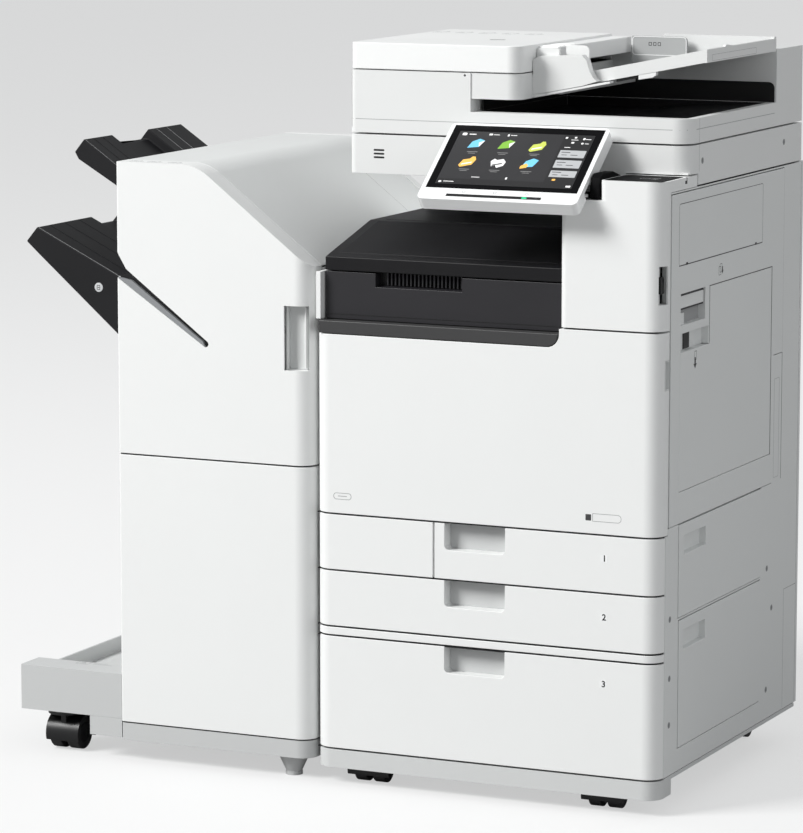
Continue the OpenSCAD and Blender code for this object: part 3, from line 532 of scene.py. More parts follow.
def bar(x, y, r=0.3):
    """A short printed line."""
    return flat(rounded(x, y, r, 2), *THIN)


# The faces that most marks lie on: the covers' front, the doors' side and the side panel.
FRONT_FACE = on_front(0, 0, 0)
RIGHT_FACE = on_right(600, 0, 0)
SIDE_FACE = on_right(599, 0, 0)

# ---- copier front ----

# Black plates in the gaps between the covers are painted shade: the plan they share, and each one's
# middle and half height.
COVER_PLAN = [(3.5, 8), (3.5, 30), (596, 30), (596, 26), (590, 12), (576, 4.5), (560, 2.2),
              (40, 2.2), (18, 5), (8, 12)]
GAP_SHADES = {"plinth": (59.0, 0.8), "lower": (244.5, 1.0), "strip": (262.0, 1.0),
         "middle": (353.5, 1.0), "upper": (446.0, 1.0)}
for name, (z, half) in GAP_SHADES.items():
    black("seam_" + name, prism(COVER_PLAN, "z", (z - half, z + half)))
black("seam_upper_right", slab((431, 590), (3, 34), (769.95, 770.45)))
black("seam_waste_door", slab((209, 217), (28, 31), (357, 443)))

# Heights of the drawer numbers and of the drawers' top edges, and the depth of their grips.
LABELS = {1: 409, 2: 315, 3: 208}
TOPS = {1: 444.5, 2: 352, 3: 244.5}
GRIP_DEPTH = 23
for number, z in LABELS.items():
    body = "drawer_%d" % number
    top = TOPS[number]
    piece("label_%d" % number, flat(rounded((-6, 6), (-6, 6), 1.2), *PRINTED), GLOSSY, body,
          place=on_front(506, 0, z))
    # A grey sheet at the back of each grip is painted shade in the recess.
    piece("grip_lining_%d" % number, flat(rounded((232.6, 336.4), (top - 42.4, top - 0.6), 6),
                                          -GRIP_DEPTH, 0.8 - GRIP_DEPTH), GRIP_PAINTED_SHADE, body,
          0.2, place=FRONT_FACE)
    digit("figure_%d" % number, str(number), DIGIT_SIZE, BLACK, body, on_front(507, -0.12, z))

# a plain badge: a small square beside an empty capsule, and a smaller capsule at the left
piece("badge_frame", hoop(rounded((486, 535), (467, 480), (1, 6, 6, 1)),
                          rounded((486.9, 534.1), (467.9, 479.1), (0.4, 5.2, 5.2, 0.4)),
                          PRINTED), SOFT_PRINT_AND_PAINTED_LIGHT, "front_cover", place=FRONT_FACE)
piece("badge_square", flat(rounded((474.5, 484), (468, 478), 0.6), *PRINTED), PRINT,
      "front_cover", place=FRONT_FACE)
piece("badge_left", merged([hoop(rounded((36, 68), (470, 481), 5),
                                 rounded((37, 67), (471, 480), 4.2), PRINTED),
                            flat(rounded((44, 60), (475, 476.2), 0.5), *PRINTED)]),
      SOFT_PRINT_AND_PAINTED_LIGHT, "front_cover", place=FRONT_FACE)

# side grip of the front cover, its recess lined with painted shade
piece("cover_grip_shade", cut(slab((586.2, 598.6), (20.2, 35.6), (677.4, 723.6)),
                               slab((588, 601), (21.5, 34.5), (679, 722))),
      PAINTED_SHADE, "front_cover", 0.4)

# behind the front cover: a grey inner cover with its catches
TONER_AXIS = (150, 640)
DRUM_AXIS = (470, 640)
inner = cut(prism(rounded((22, 555), (455, 736), 6), "y", (41.4, 44.6)),
            prism(circle(*TONER_AXIS, 43, 40), "y", (38, 48)),
            prism(circle(*DRUM_AXIS, 8), "y", (38, 48)))
piece("inner_cover", inner, BIN, "machine", 0.6)
for i in range(7):
    piece("inner_rib_%d" % i, prism(rounded((250 + 18 * i, 262 + 18 * i), (480, 560), 3), "y",
                                    (39.8, 41.6)), CHARCOAL, "machine", 0.5)
CATCHES = (("drum_catch", 420, 575), ("toner_catch", 232, 700), ("unit_catch", 520, 520))
for name, x, z in CATCHES:
    handle = bevelled(prism(rounded((x - 9, x + 9), (z - 32, z + 10), 8), "y", (34, 41)), 1.6, 3)
    piece(name, handle, GREEN, "machine")
    piece(name + "_hub", turned([(0.1, 32.5), (6, 32.8), (7, 34)], "y", (x, 0, z)), CHARCOAL,
          "machine")
for i, x in enumerate((60, 250, 400, 535)):
    for j, z in enumerate((468, 724)):
        piece("inner_screw_%d%d" % (i, j), turned([(0.1, 40.4), (3.0, 40.4), (3.6, 41),
                                                   (3.6, 41.6)], "y", (x, 0, z), 20),
              STEEL, "machine")
piece("toner_cap", cut(turned([(0.1, 36.6), (24, 36.8), (27, 38), (28, 42.4)], "y",
                              (TONER_AXIS[0], 0, TONER_AXIS[1]), 40),
                       slab((146, 154), (34, 38.2), (618, 662))),
      BLUE, "toner_bottle", 0.5)
for i, (x, z) in enumerate(circle(*TONER_AXIS, 38.2, 20)):
    piece("toner_rib_%d" % i, prism(circle(x, z, 1.1, 8), "y", (60, 410)), TONER,
          "toner_bottle")
piece("drum_gear", cut(turned([(5.2, 561), (19, 561), (20, 562), (20, 570), (19, 571),
                               (5.2, 571)], "y", (DRUM_AXIS[0], 0, DRUM_AXIS[1]), 30),
                       prism(circle(*DRUM_AXIS, 5.2), "y", (555, 575))),
      BIN, "drum_roller")

# ---- relay unit and output lip ----

black("relay_grip_back", slab((101, 250), (43.4, 43.9), (814.5, 837.5)))
RELAY_RIBS = 20
RELAY_RIB_X = 115
RELAY_RIB_PITCH = 6.8
for i in range(RELAY_RIBS):
    x = RELAY_RIB_X + RELAY_RIB_PITCH * i
    piece("relay_rib_%02d" % i, slab((x, x + 2.6), (35, 43.6), (817, 837.4)), DARK, "machine",
          0.4)
piece("relay_grip_sill", prism([(24.2, 812.5), (40, 816), (43, 816), (43, 811)], "x", (101, 250)),
      DARK, "machine", 0.3)
# The lid's panels carry the same painted shade.
piece("lid_panel", prism([(40, 862.8), (42, 865.6), (183, 902.2), (186, 902.6)], "x",
                         (30, 408)), LID_PAINTED_SHADE, "buffer_lid", 0.3)
piece("lid_rear_panel", prism(rounded((30, 408), (204, 508), 10), "z", (902.6, 903.8)), LID_PAINTED_SHADE,
      "buffer_lid", 0.5)
# A black line under the output lip: painted shade in the gap.
black("relay_shade_line", slab((12.2, 423.8), (23.6, 24.2), (767.2, 768.2)))


# ---- right side ----

marks("flap_outline", [outline_mark((70, 450), (867, 964), 4, 0.8)], SEAM_GREY, "right_door",
      RIGHT_FACE)
marks("flap_lines", [bar((71, 449), (866.2, 867.5)), bar((74, 446), (963.3, 964.2)),
                     bar((101, 109), (866, 870)), bar((414, 422), (866, 870))], PRINT,
      "right_door", RIGHT_FACE)
marks("right_door_rear_seam", [bar((555.2, 556.4), (459, 979))], BLACK, "machine",
      SIDE_FACE)
marks("bypass_outline", [bar((207, 499), (821.4, 822.6)), bar((497.6, 498.8), (508, 822.4)),
                         bar((207, 208.2), (730, 822.4))], PRINT, "right_door",
      RIGHT_FACE)
marks("door_sheets_mark", [outline_mark((-8, 2), (-9, 5), 1, 0.7),
                           outline_mark((-3, 7), (-5, 9), 1, 0.7),
                           flat([(9, -8), (13, -2), (10.5, -2), (10.5, 4), (7.5, 4),
                                 (7.5, -2), (5, -2)], *THIN)],
      PRINT, "right_door", on_right(600, 255, 843))
marks("bypass_mark", [outline_mark((-3, 6), (0, 14), 0.6, 0.7),
                      flat([(0, -14), (7, -6), (3, -6), (3, 4), (-3, 4), (-3, -6),
                            (-7, -6)], *THIN)],
      PRINT, "bypass_tray", on_right(600, 145, 711))
marks("cover_lock_mark", [bar((-5, 4), (-4, 1), r=0.5), outline_mark((0, 5), (0, 6), 1.5, 1)],
      PRINT, "machine", on_right(599, 101, 997))
marks("rear_groove_outline", [outline_mark((519, 544), (465, 632), 3, 0.6),
                              bar((578.6, 579.4), (62, 266)), bar((579, 638), (265.4, 266.4))],
      SOFT_PRINT_AND_PAINTED_LIGHT, "machine", SIDE_FACE)
marks("reader_side_seam", [bar((153.7, 154.4), (1008, 1050))], SOFT_PRINT_AND_PAINTED_LIGHT, "machine",
      RIGHT_FACE)
marks("feeder_side_seam", [bar((153.7, 154.4), (1053, 1091.5))], SOFT_PRINT_AND_PAINTED_LIGHT, "feeder",
      RIGHT_FACE)
SIDE_SCREWS = [(599, 48, 311), (599, 48, 216), (599, 48, 141), (599, 494, 316), (599, 519, 245),
               (599, 497, 109), (600, 168, 1024), (600, 547, 1024)]
for i, (x, y, z) in enumerate(SIDE_SCREWS):
    piece("screw_well_%d" % i, hoop(circle(0, 0, 5.2), circle(0, 0, 4.1), (-0.1, 0.15)),
          SOFT_PRINT_AND_PAINTED_LIGHT, "machine", place=on_right(x, y, z))
    piece("screw_plug_%d" % i, turned([(0.1, x + 0.12), (2.6, x + 0.12), (4, x + 0.02),
                                       (4, x - 0.1)], "x", (0, y, z), 20),
          PLUG, "machine")

# recesses of the lever and the grip; the step and the plate beside it are painted shade
piece("lever_step", slab((588.2, 593.2), (81.5, 112), (765.5, 790)), PAINTED_SHADE, "right_door",
      0.8)
piece("lever_shadow_plate", slab((587.1, 588.0), (112, 189.5), (765, 795)), SOFT_PRINT_AND_PAINTED_LIGHT,
      "right_door")
piece("grip_latch", slab((587.1, 588.4), (122, 148), (730, 758.4)), BLACK, "right_door",
      0.2)
piece("lever_pad", cut(slab((596.6, 598.2), (84, 184), (799, 818)),
                       slab((597.6, 599), (88, 180), (802, 815))), PAINTED_SHADE, "door_lever",
      0.3)
for i in range(7):
    y = 135 + 45 * i
    piece("door_inner_rib_%d" % i, slab((569.6, 572.2), (y, y + 3), (505, 800)), CHARCOAL,
          "right_door", 0.6)
for i, y in enumerate((150, 400)):
    piece("door_release_%d" % i, slab((566.5, 572.2), (y, y + 26), (860, 905)), GREEN,
          "right_door", 2)

# ---- reader ----

for i, z in enumerate((1013.6, 1019.5, 1025.4)):
    piece("reader_slot_%d" % i, flat(rounded((-9.5, 9.5), (-1.5, 1.5), 1.5), *PRINTED), BLACK,
          "machine", place=on_front(65, 112, z))
piece("glass_border", hoop(rounded((52, 508), (162, 488), 4), rounded((60, 500), (170, 480), 0.5),
                           (1049.8, 1050.3)), PAINTED_SHADE, "machine")
piece("strip_glass", flat(rounded((24, 44), (165, 485), 1), 1049.9, 1050.3), GLASSY, "machine")
piece("scan_lamp", slab((84, 88), (172, 478), (1041.9, 1043.2)), GLOW, "scan_carriage",
      0.4)
piece("scan_mirror", slab((94, 104), (172, 478), (1041.9, 1042.5)), GLASSY, "scan_carriage",
      0.2)
piece("press_sheet", flat(rounded((52, 508), (162, 490), 5), 1050.6, 1053.2), GLOSSY, "feeder",
      0.7)
for i, x in enumerate((60, 250, 440)):
    for j, y in enumerate((128, 600)):
        piece("lid_stop_%d%d" % (i, j), turned([(0.1, 1050.5), (4.5, 1050.6), (5, 1051.2),
                                                (5, 1053.2)], "z", (x, y, 0), 20),
              BLACK, "feeder")

# ---- feeder ----

RIM_PATH = [(12, 560), (12, 124), (13.6, 118), (18, 113.6), (24, 112), (570, 112), (582, 114.6),
            (592, 121.6), (598, 132), (600, 142), (600, 500)]
piece("feeder_groove", flat(thick(RIM_PATH, -0.05, 0.12), 1074.4, 1075.4), SOFT_PRINT_AND_PAINTED_LIGHT, "feeder")
piece("output_floor", flat(rounded((229.2, 585.8), (135.3, 504.6), 4), 1075.1, 1076.6), DARK,
      "feeder")
piece("output_lining", hoop(rounded((229.1, 585.9), (135.1, 504.9), 1.5),
                            rounded((230.2, 584.8), (136.2, 503.8), 1),
                            (1075.2, 1091.4)), BLACK, "feeder")
piece("output_rear_plate", prism(rounded((229.5, 597), (1091.5, 1125), (0, 0, 10, 0)), "y",
                                 (505.6, 507.1)), BLACK, "feeder", 0.4)


def wedge(low, high):
    """A block whose four upper corners stand freely over its four lower ones."""
    bm = bmesh.new()
    low = [bm.verts.new(v) for v in low]
    high = [bm.verts.new(v) for v in high]
    bm.faces.new(low)
    bm.faces.new(high)
    for i in range(4):
        j = (i + 1) % 4
        bm.faces.new((low[i], low[j], high[j], high[i]))
    bmesh.ops.triangulate(bm, faces=list(bm.faces))
    return bm


piece("output_ramp", wedge([(395, 300, 1076.4), (584, 262, 1076.4), (584, 503, 1076.4),
                            (395, 503, 1076.4)],
                           [(470, 330, 1083), (584, 300, 1088), (584, 503, 1090),
                            (455, 503, 1086)]), CHARCOAL, "feeder", 1.2)
piece("output_mouth", slab((229.2, 232), (150, 500), (1092, 1112.8)), BLACK, "feeder",
      0.3)
piece("wing_lip", prism([(308, 1114.5), (316, 1114.2), (443, 1140), (443, 1143.5), (396, 1134.6),
                         (335, 1122.6), (308, 1118.6)], "y", (166, 183)), WHITE, "feeder",
      0.8)
piece("tray_slot", prism([(446, 1141.5), (484, 1149), (484, 1154.5), (446, 1146.8)], "y",
                         (186, 195)), BLACK, "document_tray", 0.3)
piece("tray_foot", prism([(484, 1146), (508, 1150), (514, 1154), (514, 1160), (484, 1154)], "y",
                         (184.6, 195)), WHITE, "document_tray", 1.0)
piece("tray_flap", outline_mark((207, 409), (1178, 1188), 1.5, 0.5), SOFT_PRINT_AND_PAINTED_LIGHT,
      "document_tray", place=RIGHT_FACE)
piece("tray_stop", prism([(266, 1196.4), (271, 1199.8), (276, 1199.9), (300, 1197.6),
                          (300, 1196.4)], "x", (594.5, 599.4)), WHITE, "document_tray",
      0.2)
# A grey sheet over the tray bed: painted shade.
piece("tray_bed_shade_sheet", flat(rounded((362, 597), (196, 494.6), 3), -0.05, 0.12), BED_PAINTED_SHADE,
      "document_tray", place=ON_BED)
# A darker well on the tray bed: painted shade.
piece("tray_stop_well", flat(rounded((520, 575), (250, 330), 4), -0.05, 0.25), PAINTED_SHADE,
      "document_tray", place=ON_BED)
for i, y in enumerate((235, 290, 345, 400, 455)):
    piece("tray_rib_%d" % i, flat(rounded((402, 590), (y - 1, y + 1), 0.8), -0.1, 0.8), WHITE,
          "document_tray", place=ON_BED)
GUIDE_FACE = on_front(0, 478, 0)
COVER_TOP = 1198
marks("guide_marks", [outline_mark((x, x + 5.5), (1181, 1187), 0.8, 1) for x in (386, 394, 402)],
      PRINT, "rear_side_guide", GUIDE_FACE)
piece("guide_frame", outline_mark((357, 453), (1165, 1196.4), 6, 1.3, (-0.1, 0.5)), WHITE,
      "rear_side_guide", place=GUIDE_FACE)
piece("cover_handle_slot", flat(rounded((-13, 13), (-4, 4), 3.5), *PRINTED), PRINT,
      "feeder_cover",
      place=Matrix.Translation((207, 263, COVER_TOP)) @ Matrix.Rotation(0.3, 4, "Z"))
cover_marks = []
for x in (24, 66, 108, 150, 192):
    cover_marks += [outline_mark((x, x + 20), (408, 440), 1.5, 0.8),
                    bar((x + 4, x + 16), (414, 415)), bar((x + 4, x + 12), (420, 421)),
                    bar((x + 22, x + 28), (424, 425.2))]
marks("cover_guide_marks", cover_marks, SOFT_PRINT_AND_PAINTED_LIGHT, "feeder_cover",
      Matrix.Translation((0, 0, COVER_TOP)))
for i in range(8):
    y = 200 + 9 * i
    piece("cover_rib_%d" % i, slab((313, 343), (y, y + 2.4), (1193.8, 1195.2)), WHITE,
          "feeder_cover", 0.4)
piece("seam_end_dot", turned([(0.1, 111.6), (1.6, 111.7), (2, 112.1)], "y", (216, 0, 1150), 14),
      PRINT, "feeder")
piece("feeder_inner_floor", slab((20, 220), (120, 500), (1061.1, 1064)), CHARCOAL, "feeder",
      0.5)
for i in range(11):
    y = 135 + 34 * i
    piece("feeder_inner_rib_%d" % i, slab((30, 215), (y, y + 2.5), (1064, 1072)), CHARCOAL,
          "feeder", 0.6)
for i, y in enumerate((240, 320, 400)):
    piece("feed_tyre_%d" % i, turned([(14.2, y - 16), (15.4, y - 15), (15.4, y + 15),
                                      (14.2, y + 16)], "y", (270, 0, 1138), 40), RUBBER,
          "feed_roller")

# ---- control panel ----

PANEL_CORNER = (204, -49, 968)
PANEL_SLOPE = 37


def on_panel(w=0.0):
    """Drawings on the panel: across it, up its slope, and proud of the glass by w."""
    return (Matrix.Translation(PANEL_CORNER)
            @ Matrix.Rotation(math.radians(PANEL_SLOPE), 4, "X")
            @ Matrix.Translation((0, 0, w)))


def on_screen(name, outlines, finish, w):
    """Flat shapes of one colour in one layer of the screen's picture."""
    return marks(name, [flat(o, 0, 0.06) for o in outlines], finish, "control_panel",
                 on_panel(w))


# Layers of the screen's picture, each a little proud of the one below.
PAGE_LAYER, BAR_LAYER, ICON_LAYER, TRIM_LAYER = 0.02, 0.09, 0.16, 0.23


def shifted(outline, u, v):
    """The outline moved across and up the screen."""
    return [(u + x, v + y) for x, y in outline]


on_screen("screen_page", [rounded((20, 251), (36, 160), 1)], UI_GREY, PAGE_LAYER)
on_screen("screen_side_bar", [rounded((200, 251), (36, 160), 1)], UI_DARK, BAR_LAYER)
on_screen("screen_foot_bar", [rounded((20, 200), (36, 49), 1)], UI_DARK, BAR_LAYER)
PAGE = [(-12, -9), (7, -6), (13, 9), (3, 13), (-8, 6)]
PAGE_TURN = [(7, -6), (13, 9), (4, 4)]
FOLDER = [(-13, -9), (-9, -13), (9, -7), (13, 5), (10, 12), (5, 12), (2, 7), (-9, 4)]
FOLDER_BAND = [(-9, -8), (7, -3), (8, 0), (-8, -5)]
PRINTER = [(-13, 3), (-9, -9), (-3, -6), (1, -12), (11, -7), (13, 2), (7, 9), (-3, 6), (-8, 9)]
FRINGE = [(-13, -12), (-3, -9), (-1, -3), (-6, 1), (-14, -6)]
ICONS = [("copy", 57, 130, PAGE, UI_SKY, PAGE_TURN, UI_WHITE),
         ("scan", 109, 130, PAGE, UI_LEAF, PAGE_TURN, UI_WHITE),
         ("store", 163, 130, FOLDER, UI_LIME, FOLDER_BAND, UI_WHITE),
         ("send", 57, 89, FOLDER, UI_AMBER, FOLDER_BAND, UI_WHITE),
         ("print", 109, 89, PRINTER, UI_WHITE, FOLDER_BAND, UI_GREY),
         ("combine", 163, 89, PAGE, UI_SKY, FRINGE, UI_AMBER)]
for name, u, v, shape, finish, extra, second in ICONS:
    on_screen("icon_" + name, [shifted(shape, u, v)], finish, ICON_LAYER)
    on_screen("icon_%s_trim" % name, [shifted(extra, u, v)], second, TRIM_LAYER)
    on_screen("icon_%s_caption" % name,
              [rounded((u - 9, u + 9), (v - 18.5, v - 17.2), 0.3, 1),
               rounded((u - 6, u + 6), (v - 22, v - 20.8), 0.3, 1)], UI_SOFT, ICON_LAYER)
for i, (v, h) in enumerate(((115.5, 17), (92, 18), (69, 15))):
    on_screen("card_%d" % i, [rounded((204, 248), (v - h / 2, v + h / 2), 1)], UI_LIGHT,
              ICON_LAYER)
    on_screen("card_%d_lines" % i,
              [rounded((207, 222), (v + 3, v + 4.3), 0.3, 1),
               rounded((209, 218), (v - 3, v - 1.8), 0.3, 1),
               rounded((224, 236), (v - 3, v - 1.8), 0.3, 1)], UI_DARK, TRIM_LAYER)
on_screen("status_marks",
          [rounded((26, 34), (150, 156), 2), rounded((38, 50), (152, 154), 0.4, 1),
           rounded((72, 78), (152, 156), 0.6), rounded((80, 90), (153, 154.4), 0.4, 1),
           rounded((104, 107), (151, 156), 0.6), rounded((109, 120), (153, 154.4), 0.4, 1),
           rounded((203, 207), (151, 155), 1), rounded((218, 222), (152, 156), 1.5),
           rounded((214, 226), (148, 149.2), 0.4, 1), rounded((233, 237), (149, 154), 1.5),
           rounded((238, 247), (150, 151.4), 0.4, 1), rounded((216, 221), (140, 144), 1.5),
           rounded((233, 237), (139, 143), 1.5), rounded((239, 246), (140, 141.4), 0.4, 1),
           rounded((208, 218), (130, 131.4), 0.4, 1)], UI_WHITE, ICON_LAYER)
on_screen("foot_marks",
          [rounded((24, 29), (39, 43), 1.5), rounded((32, 50), (41, 42.4), 0.4, 1),
           rounded((76, 90), (53, 54.4), 0.4, 1), rounded((134, 137), (51, 56), 1),
           rounded((240, 248), (39, 43), 0.6)], UI_WHITE, ICON_LAYER)
on_screen("amber_mark", [rounded((212, 218), (53, 57), 1.5)], UI_AMBER, ICON_LAYER)
piece("panel_slot", flat(rounded((48, 209), (7.6, 13.6), 1), -0.2, 0.12), BLACK,
      "control_panel", place=on_panel())
piece("panel_light", flat(rounded((176, 185), (9, 12.2), 1.4), 0.1, 0.25), UI_LED,
      "control_panel", place=on_panel())
piece("panel_dim_light", flat(rounded((198, 203), (9.4, 11.8), 1.1), 0.1, 0.2), PRINT,
      "control_panel", place=on_panel())
marks("panel_marks", [outline_mark((u - 3, u + 3), (17.5, 21.5), 1, 0.8)
                      for u in (75, 128, 182)], SOFT_PRINT_AND_PAINTED_LIGHT, "control_panel", on_panel())
piece("panel_back", flat(rounded((6, 220), (34, 172), 9), -22.6, -21.8), BLACK, "control_panel",
      0.3, place=on_panel())

# the black top beside the panel, its sign, and the arm's cover
piece("reader_pad", flat(rounded((497.5, 595), (6, 105), 9), 1002.9, 1003.15), MATT, "machine")
piece("arm_cover", prism([(2, 973), (2, 994), (8, 1006), (18, 1012), (60, 1012), (104, 1000),
                          (104, 973)], "x", (477, 493.4)), MATT, "machine", 1.5,
      3)
marks("reader_pad_sign", [outline_mark((540, 556), (52, 62), 2, 0.9),
                          bar((560, 561.2), (50, 64)), bar((564, 565.2), (47, 67)),
                          bar((568, 569.2), (44, 70))], SOFT_PRINT_AND_PAINTED_LIGHT, "machine",
      Matrix.Translation((0, 0, 1003.15)))

# ---- finisher ----

piece("slot_back", prism([(-356.5, 812), (-331, 820), (-188, 713), (-186, 707), (-195, 700),
                          (-356.5, 806)], "y", (7.2, 8.4)), BLACK, "finisher_door")
piece("slot_lip", prism([(-356.4, 810.6), (-331, 806.4), (-200, 712.4), (-195.4, 703.4)], "y",
                        (1.4, 7.3)), BIN, "finisher_door", 0.5)
piece("handle_ridge", slab((-21.6, -18.6), (13.5, 23.2), (676.5, 776.5)), WHITE,
      "finisher_door", 1.0)
# The handle's recess floor is painted shade.
piece("handle_floor", slab((-51.6, -12.4), (21.4, 23.1), (674.6, 778.4)), PAINTED_SHADE,
      "finisher_door", 0.5)
piece("slope_seam", prism([(-150, 953.3), (-9, 844.1), (-9, 844.5), (-150, 953.7)], "y",
                          (499.7, 500.4)), SOFT_PRINT_AND_PAINTED_LIGHT, "finisher_top_cover")
# Black plates in the finisher's gaps are painted shade.
FINISHER_PLAN = [(-354.6, 3), (-34, 3), (-20, 7), (-11, 16), (-9, 30), (-9, 44), (-354.6, 44)]
for name, z in (("finisher_split", 518.0), ("finisher_kick", 65.2)):
    black("seam_" + name, prism(FINISHER_PLAN, "z", (z - 0.9, z + 0.9)))
top_marks = []
for i, x in enumerate((-340, -306, -268)):
    top_marks += [outline_mark((x, x + 18), (12, 30), 1.5, 1), bar((x + 4, x + 14), (18, 19.2)),
                  bar((x + 4, x + 11), (23, 24.2)), bar((x + 21, x + 27), (15, 16.4))]
marks("finisher_top_marks", top_marks, SOFT_PRINT_AND_PAINTED_LIGHT, "finisher_door",
      Matrix.Translation((0, 0, 1000)))
piece("finisher_knob", turned([(0.1, 34), (11, 34.4), (13, 36), (13, 47.6)], "y",
                              (-180, 0, 640), 32), GREEN, "machine")
piece("finisher_latch", prism(rounded((-235, -150), (510, 522), 5), "y", (44, 47.6)), CHARCOAL,
      "machine", 1.0)
for i, z in enumerate((600, 690)):
    piece("finisher_roll_%d" % i, turned([(2, 60), (9, 60.5), (9, 590), (2, 590.5)], "y",
                                         (-230, 0, z), 24), RUBBER, "machine")

# ---- output trays ----

# Both trays' tops start at one X. Each one's height there, and its tip.
TRAY_ROOT_X = -359
TRAY_RUNS = {"upper_tray": (944, (-477, 1024)), "lower_tray": (771, (-569, 873))}


def tray_line(name, body, y, finish, lift, width=0.8):
    """A fine raised line along an output tray, from 5 mm past its root to 3 mm short of its tip."""
    root_z, tip = TRAY_RUNS[body]
    rise = (tip[1] - root_z) / (tip[0] - TRAY_ROOT_X)
    start = (TRAY_ROOT_X - 5, root_z - rise * 5)
    end = (tip[0] + 3, tip[1] + rise * 3)
    piece(name, prism([(start[0], start[1] - 0.3), (end[0], end[1] - 0.3),
                       (end[0], end[1] + lift), (start[0], start[1] + lift)], "y",
                      (y, y + width)), finish, body)


for i, y in enumerate((140, 170)):
    tray_line("upper_tray_line_%d" % i, "upper_tray", y, CHARCOAL, 0.6)
# Soft grey lines along the upper tray's edges are painted highlights.
for i, y in enumerate((362, 398)):
    tray_line("upper_tray_edge_%d" % i, "upper_tray", y, SOFT_PRINT_AND_PAINTED_LIGHT, 0.3, 0.6)
for i, y in enumerate((150, 200, 250)):
    tray_line("lower_tray_line_%d" % i, "lower_tray", y, CHARCOAL, 0.6)
# Soft grey lines along the trays' front rims are painted highlights and wear.
tray_line("lower_tray_highlight", "lower_tray", 111.2, SOFT_PRINT_AND_PAINTED_LIGHT, 0.2, 0.5)
tray_line("upper_rim_highlight", "upper_tray", 111.2, SOFT_PRINT_AND_PAINTED_LIGHT, 0.2, 0.5)
piece("tray_button", turned([(0.1, 109.0), (5.2, 109.1), (7.4, 109.4), (8, 110.2)], "y",
                            (-452, 0, 776.5), 32), LIGHT_PLUG, "lower_tray")
marks("tray_button_mark", [outline_mark((-3, 3), (-4, 4), 1, 0.9), bar((-1.5, 1.5), (-0.6, 0.6))],
      PRINT, "lower_tray", on_front(-452, 109.05, 776.5))

# ---- rear ----


COPIER_BACK = 649
FINISHER_BACK = 640


def rear_frame(name, x, z, r, width, finish, y=COPIER_BACK):
    """A thin line round a rectangle on a face that looks back."""
    inner = ((x[0] + width, x[1] - width), (z[0] + width, z[1] - width))
    outer = [(u, -v) for u, v in rounded(x, z, r)]
    shrunk = [(u, -v) for u, v in rounded(*inner, max(r - width, 0.2))]
    return piece(name, hoop(outer, shrunk, (-0.2, 0.12)), finish, "machine",
                 place=Matrix.Translation((0, y, 0)) @ Matrix.Rotation(-math.pi / 2, 4, "X"))


def louvres(name, x, z, rows, y=COPIER_BACK):
    """Rows of vent slots drawn as flat black marks of painted shade, each with a fine lip below."""
    pitch = (z[1] - z[0]) / rows
    slots, lips = [], []
    for i in range(rows):
        low = z[0] + pitch * i
        slots.append(prism(rounded(x, (low, low + pitch * 0.5), pitch * 0.24, 3), "y",
                           (y - 0.2, y + 0.1)))
        lips.append(prism(rounded((x[0], x[1]), (low - 0.9, low - 0.1), 0.3, 2), "y",
                          (y - 0.2, y + 0.14)))
    black(name, merged(slots))
    piece(name + "_lips", merged(lips), SOFT_PRINT_AND_PAINTED_LIGHT, "machine")


def rear_screws(name, spots, y):
    """Low screw heads on a face that looks back."""
    for i, (x, z) in enumerate(spots):
        piece("%s_%d" % (name, i),
              turned([(0.1, y + 0.05), (1.2, y + 0.12), (3.4, y + 0.14), (4.2, y - 0.1)], "y",
                     (x, 0, z), 20), STEEL, "machine")


rear_frame("rear_panel_outline", (30, 570), (150, 925), 8, 0.9, SOFT_PRINT_AND_PAINTED_LIGHT)
rear_frame("rear_upper_outline", (60, 540), (700, 900), 5, 0.8, SOFT_PRINT_AND_PAINTED_LIGHT)
louvres("rear_vent_fan", (360, 500), (730, 860), 13)
louvres("rear_vent_power", (90, 210), (740, 800), 6)
louvres("rear_vent_low", (330, 520), (190, 260), 7)
rear_screws("rear_screw", [(40, 160), (560, 160), (40, 540), (560, 540), (40, 915), (560, 915),
                           (300, 160), (300, 915)], COPIER_BACK)
rear_frame("inlet_surround", (66, 102), (116, 144), 3, 1.6, BLACK)
for i, x in enumerate((77, 84, 91)):
    piece("inlet_pin_%d" % i, slab((x - 1, x + 1), (642.1, 647), (126, 133)), STEEL, "machine",
          0.3)
rear_frame("socket_panel", (60, 130), (380, 520), 3, 0.9, SOFT_PRINT_AND_PAINTED_LIGHT)
# each socket's middle, width and height
SOCKETS = [(80, 490, 15, 12), (108, 490, 12, 6), (80, 455, 12, 6), (108, 455, 12, 12),
           (94, 415, 38, 14)]
for i, (x, z, w, h) in enumerate(SOCKETS):
    black("socket_%d" % i, prism(rounded((x - w / 2, x + w / 2), (z - h / 2, z + h / 2), 0.8),
                                 "y", (COPIER_BACK - 0.2, COPIER_BACK + 0.12)))
    rear_frame("socket_%d_rim" % i, (x - w / 2 - 1.4, x + w / 2 + 1.4),
               (z - h / 2 - 1.4, z + h / 2 + 1.4), 1.2, 0.9, STEEL)
rear_frame("finisher_rear_outline", (-345, -20), (90, 960), 6, 0.9, SOFT_PRINT_AND_PAINTED_LIGHT,
           FINISHER_BACK)
louvres("finisher_rear_vent", (-300, -200), (820, 900), 8, FINISHER_BACK)
rear_screws("finisher_screw", [(x, z) for z in (100, 520, 950) for x in (-338, -27)],
            FINISHER_BACK)

# ---- outrigger, casters and feet ----

marks("outrigger_sign", [outline_mark((-469, -445), (44, 66), 2, 1.2),
                         bar((-440, -402), (50, 51.4)), bar((-440, -412), (56, 57.4)),
                         flat([(-463, 50), (-451, 50), (-457, 61)], *THIN)], SOFT_PRINT_AND_PAINTED_LIGHT,
      "machine", Matrix.Translation((0, 0, 146)))


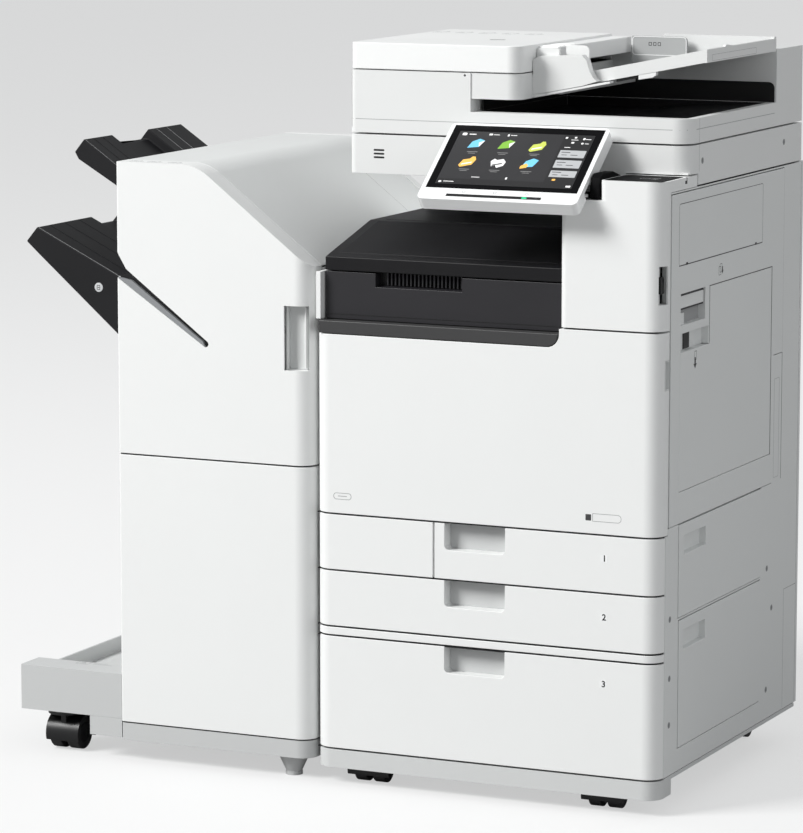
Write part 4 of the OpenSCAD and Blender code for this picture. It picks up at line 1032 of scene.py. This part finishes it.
# Each caster's axle middle, hub radius, and its hood's inner and outer radius and half width.
CASTERS = {"left": ((87, 46, 22), 12, (23.2, 25.6), 37),
           "right": ((498, 46, 22), 12, (23.2, 25.6), 37),
           "finisher": ((-480, 48, 28), 16, (29.4, 32.4), 31)}
# Half the width over a pair of wheels, and the hood's first angle, sweep and number of steps.
WHEELS_HALF = 26
HOOD_START, HOOD_SWEEP, HOOD_STEPS = -20, 220, 22


def hood(centre, inner, outer, half):
    """A caster's curved shroud over the wheels."""
    arc = [math.radians(HOOD_START + HOOD_SWEEP * i / HOOD_STEPS) for i in range(HOOD_STEPS + 1)]
    path = [(centre[1] + outer * math.cos(a), centre[2] + outer * math.sin(a)) for a in arc]
    path += [(centre[1] + inner * math.cos(a), centre[2] + inner * math.sin(a))
             for a in reversed(arc)]
    return prism(path, "x", (centre[0] - half, centre[0] + half))


for name, (centre, _, radii, half) in CASTERS.items():
    piece(name + "_hood", hood(centre, *radii, half), BLACK, name + "_caster",
          0.6)
for name, ((x, y, z), r, _, _) in CASTERS.items():
    for end, side in (("a", -1), ("b", 1)):
        profile = [(0.1, 1.6), (r * 0.4, 1.5), (r * 0.6, 0.5), (r, 0.9), (r + 1.5, -0.4)]
        piece("%s_hub_%s" % (name, end),
              turned([(radius, x + side * (WHEELS_HALF + out)) for radius, out in profile], "x",
                     (0, y, z), 28), CHARCOAL, name + "_caster_wheels")

# ---- floor ----


def floor_finish():
    """Pale to look at, but it throws little light back up at the machine."""
    m = material("floor", (0.32, 0.32, 0.32), 0.8, 0.3, 8.0, 0.01)
    tree = m.node_tree
    shade = tree.nodes["Principled BSDF"]
    pale = tree.nodes.new("ShaderNodeEmission")
    pale.inputs["Color"].default_value = (0.985, 0.99, 0.99, 1)
    pale.inputs["Strength"].default_value = 0.55
    both = tree.nodes.new("ShaderNodeAddShader")
    seen = tree.nodes.new("ShaderNodeMixShader")
    direct = tree.nodes.new("ShaderNodeLightPath").outputs["Is Camera Ray"]
    put = tree.links.new
    put(shade.outputs[0], both.inputs[0])
    put(pale.outputs[0], both.inputs[1])
    put(direct, seen.inputs["Fac"])
    put(shade.outputs[0], seen.inputs[1])
    put(both.outputs[0], seen.inputs[2])
    put(seen.outputs[0], tree.nodes["Material Output"].inputs["Surface"])
    return m


floor_mesh = bpy.data.meshes.new("floor")
floor_shape = bmesh.new()
bmesh.ops.create_grid(floor_shape, x_segments=8, y_segments=8, size=45)
floor_shape.to_mesh(floor_mesh)
floor_shape.free()
floor = bpy.data.objects.new("floor", floor_mesh)
scene.collection.objects.link(floor)
floor_mesh.materials.append(floor_finish())

# ---- closing ----

bpy.context.view_layer.update()
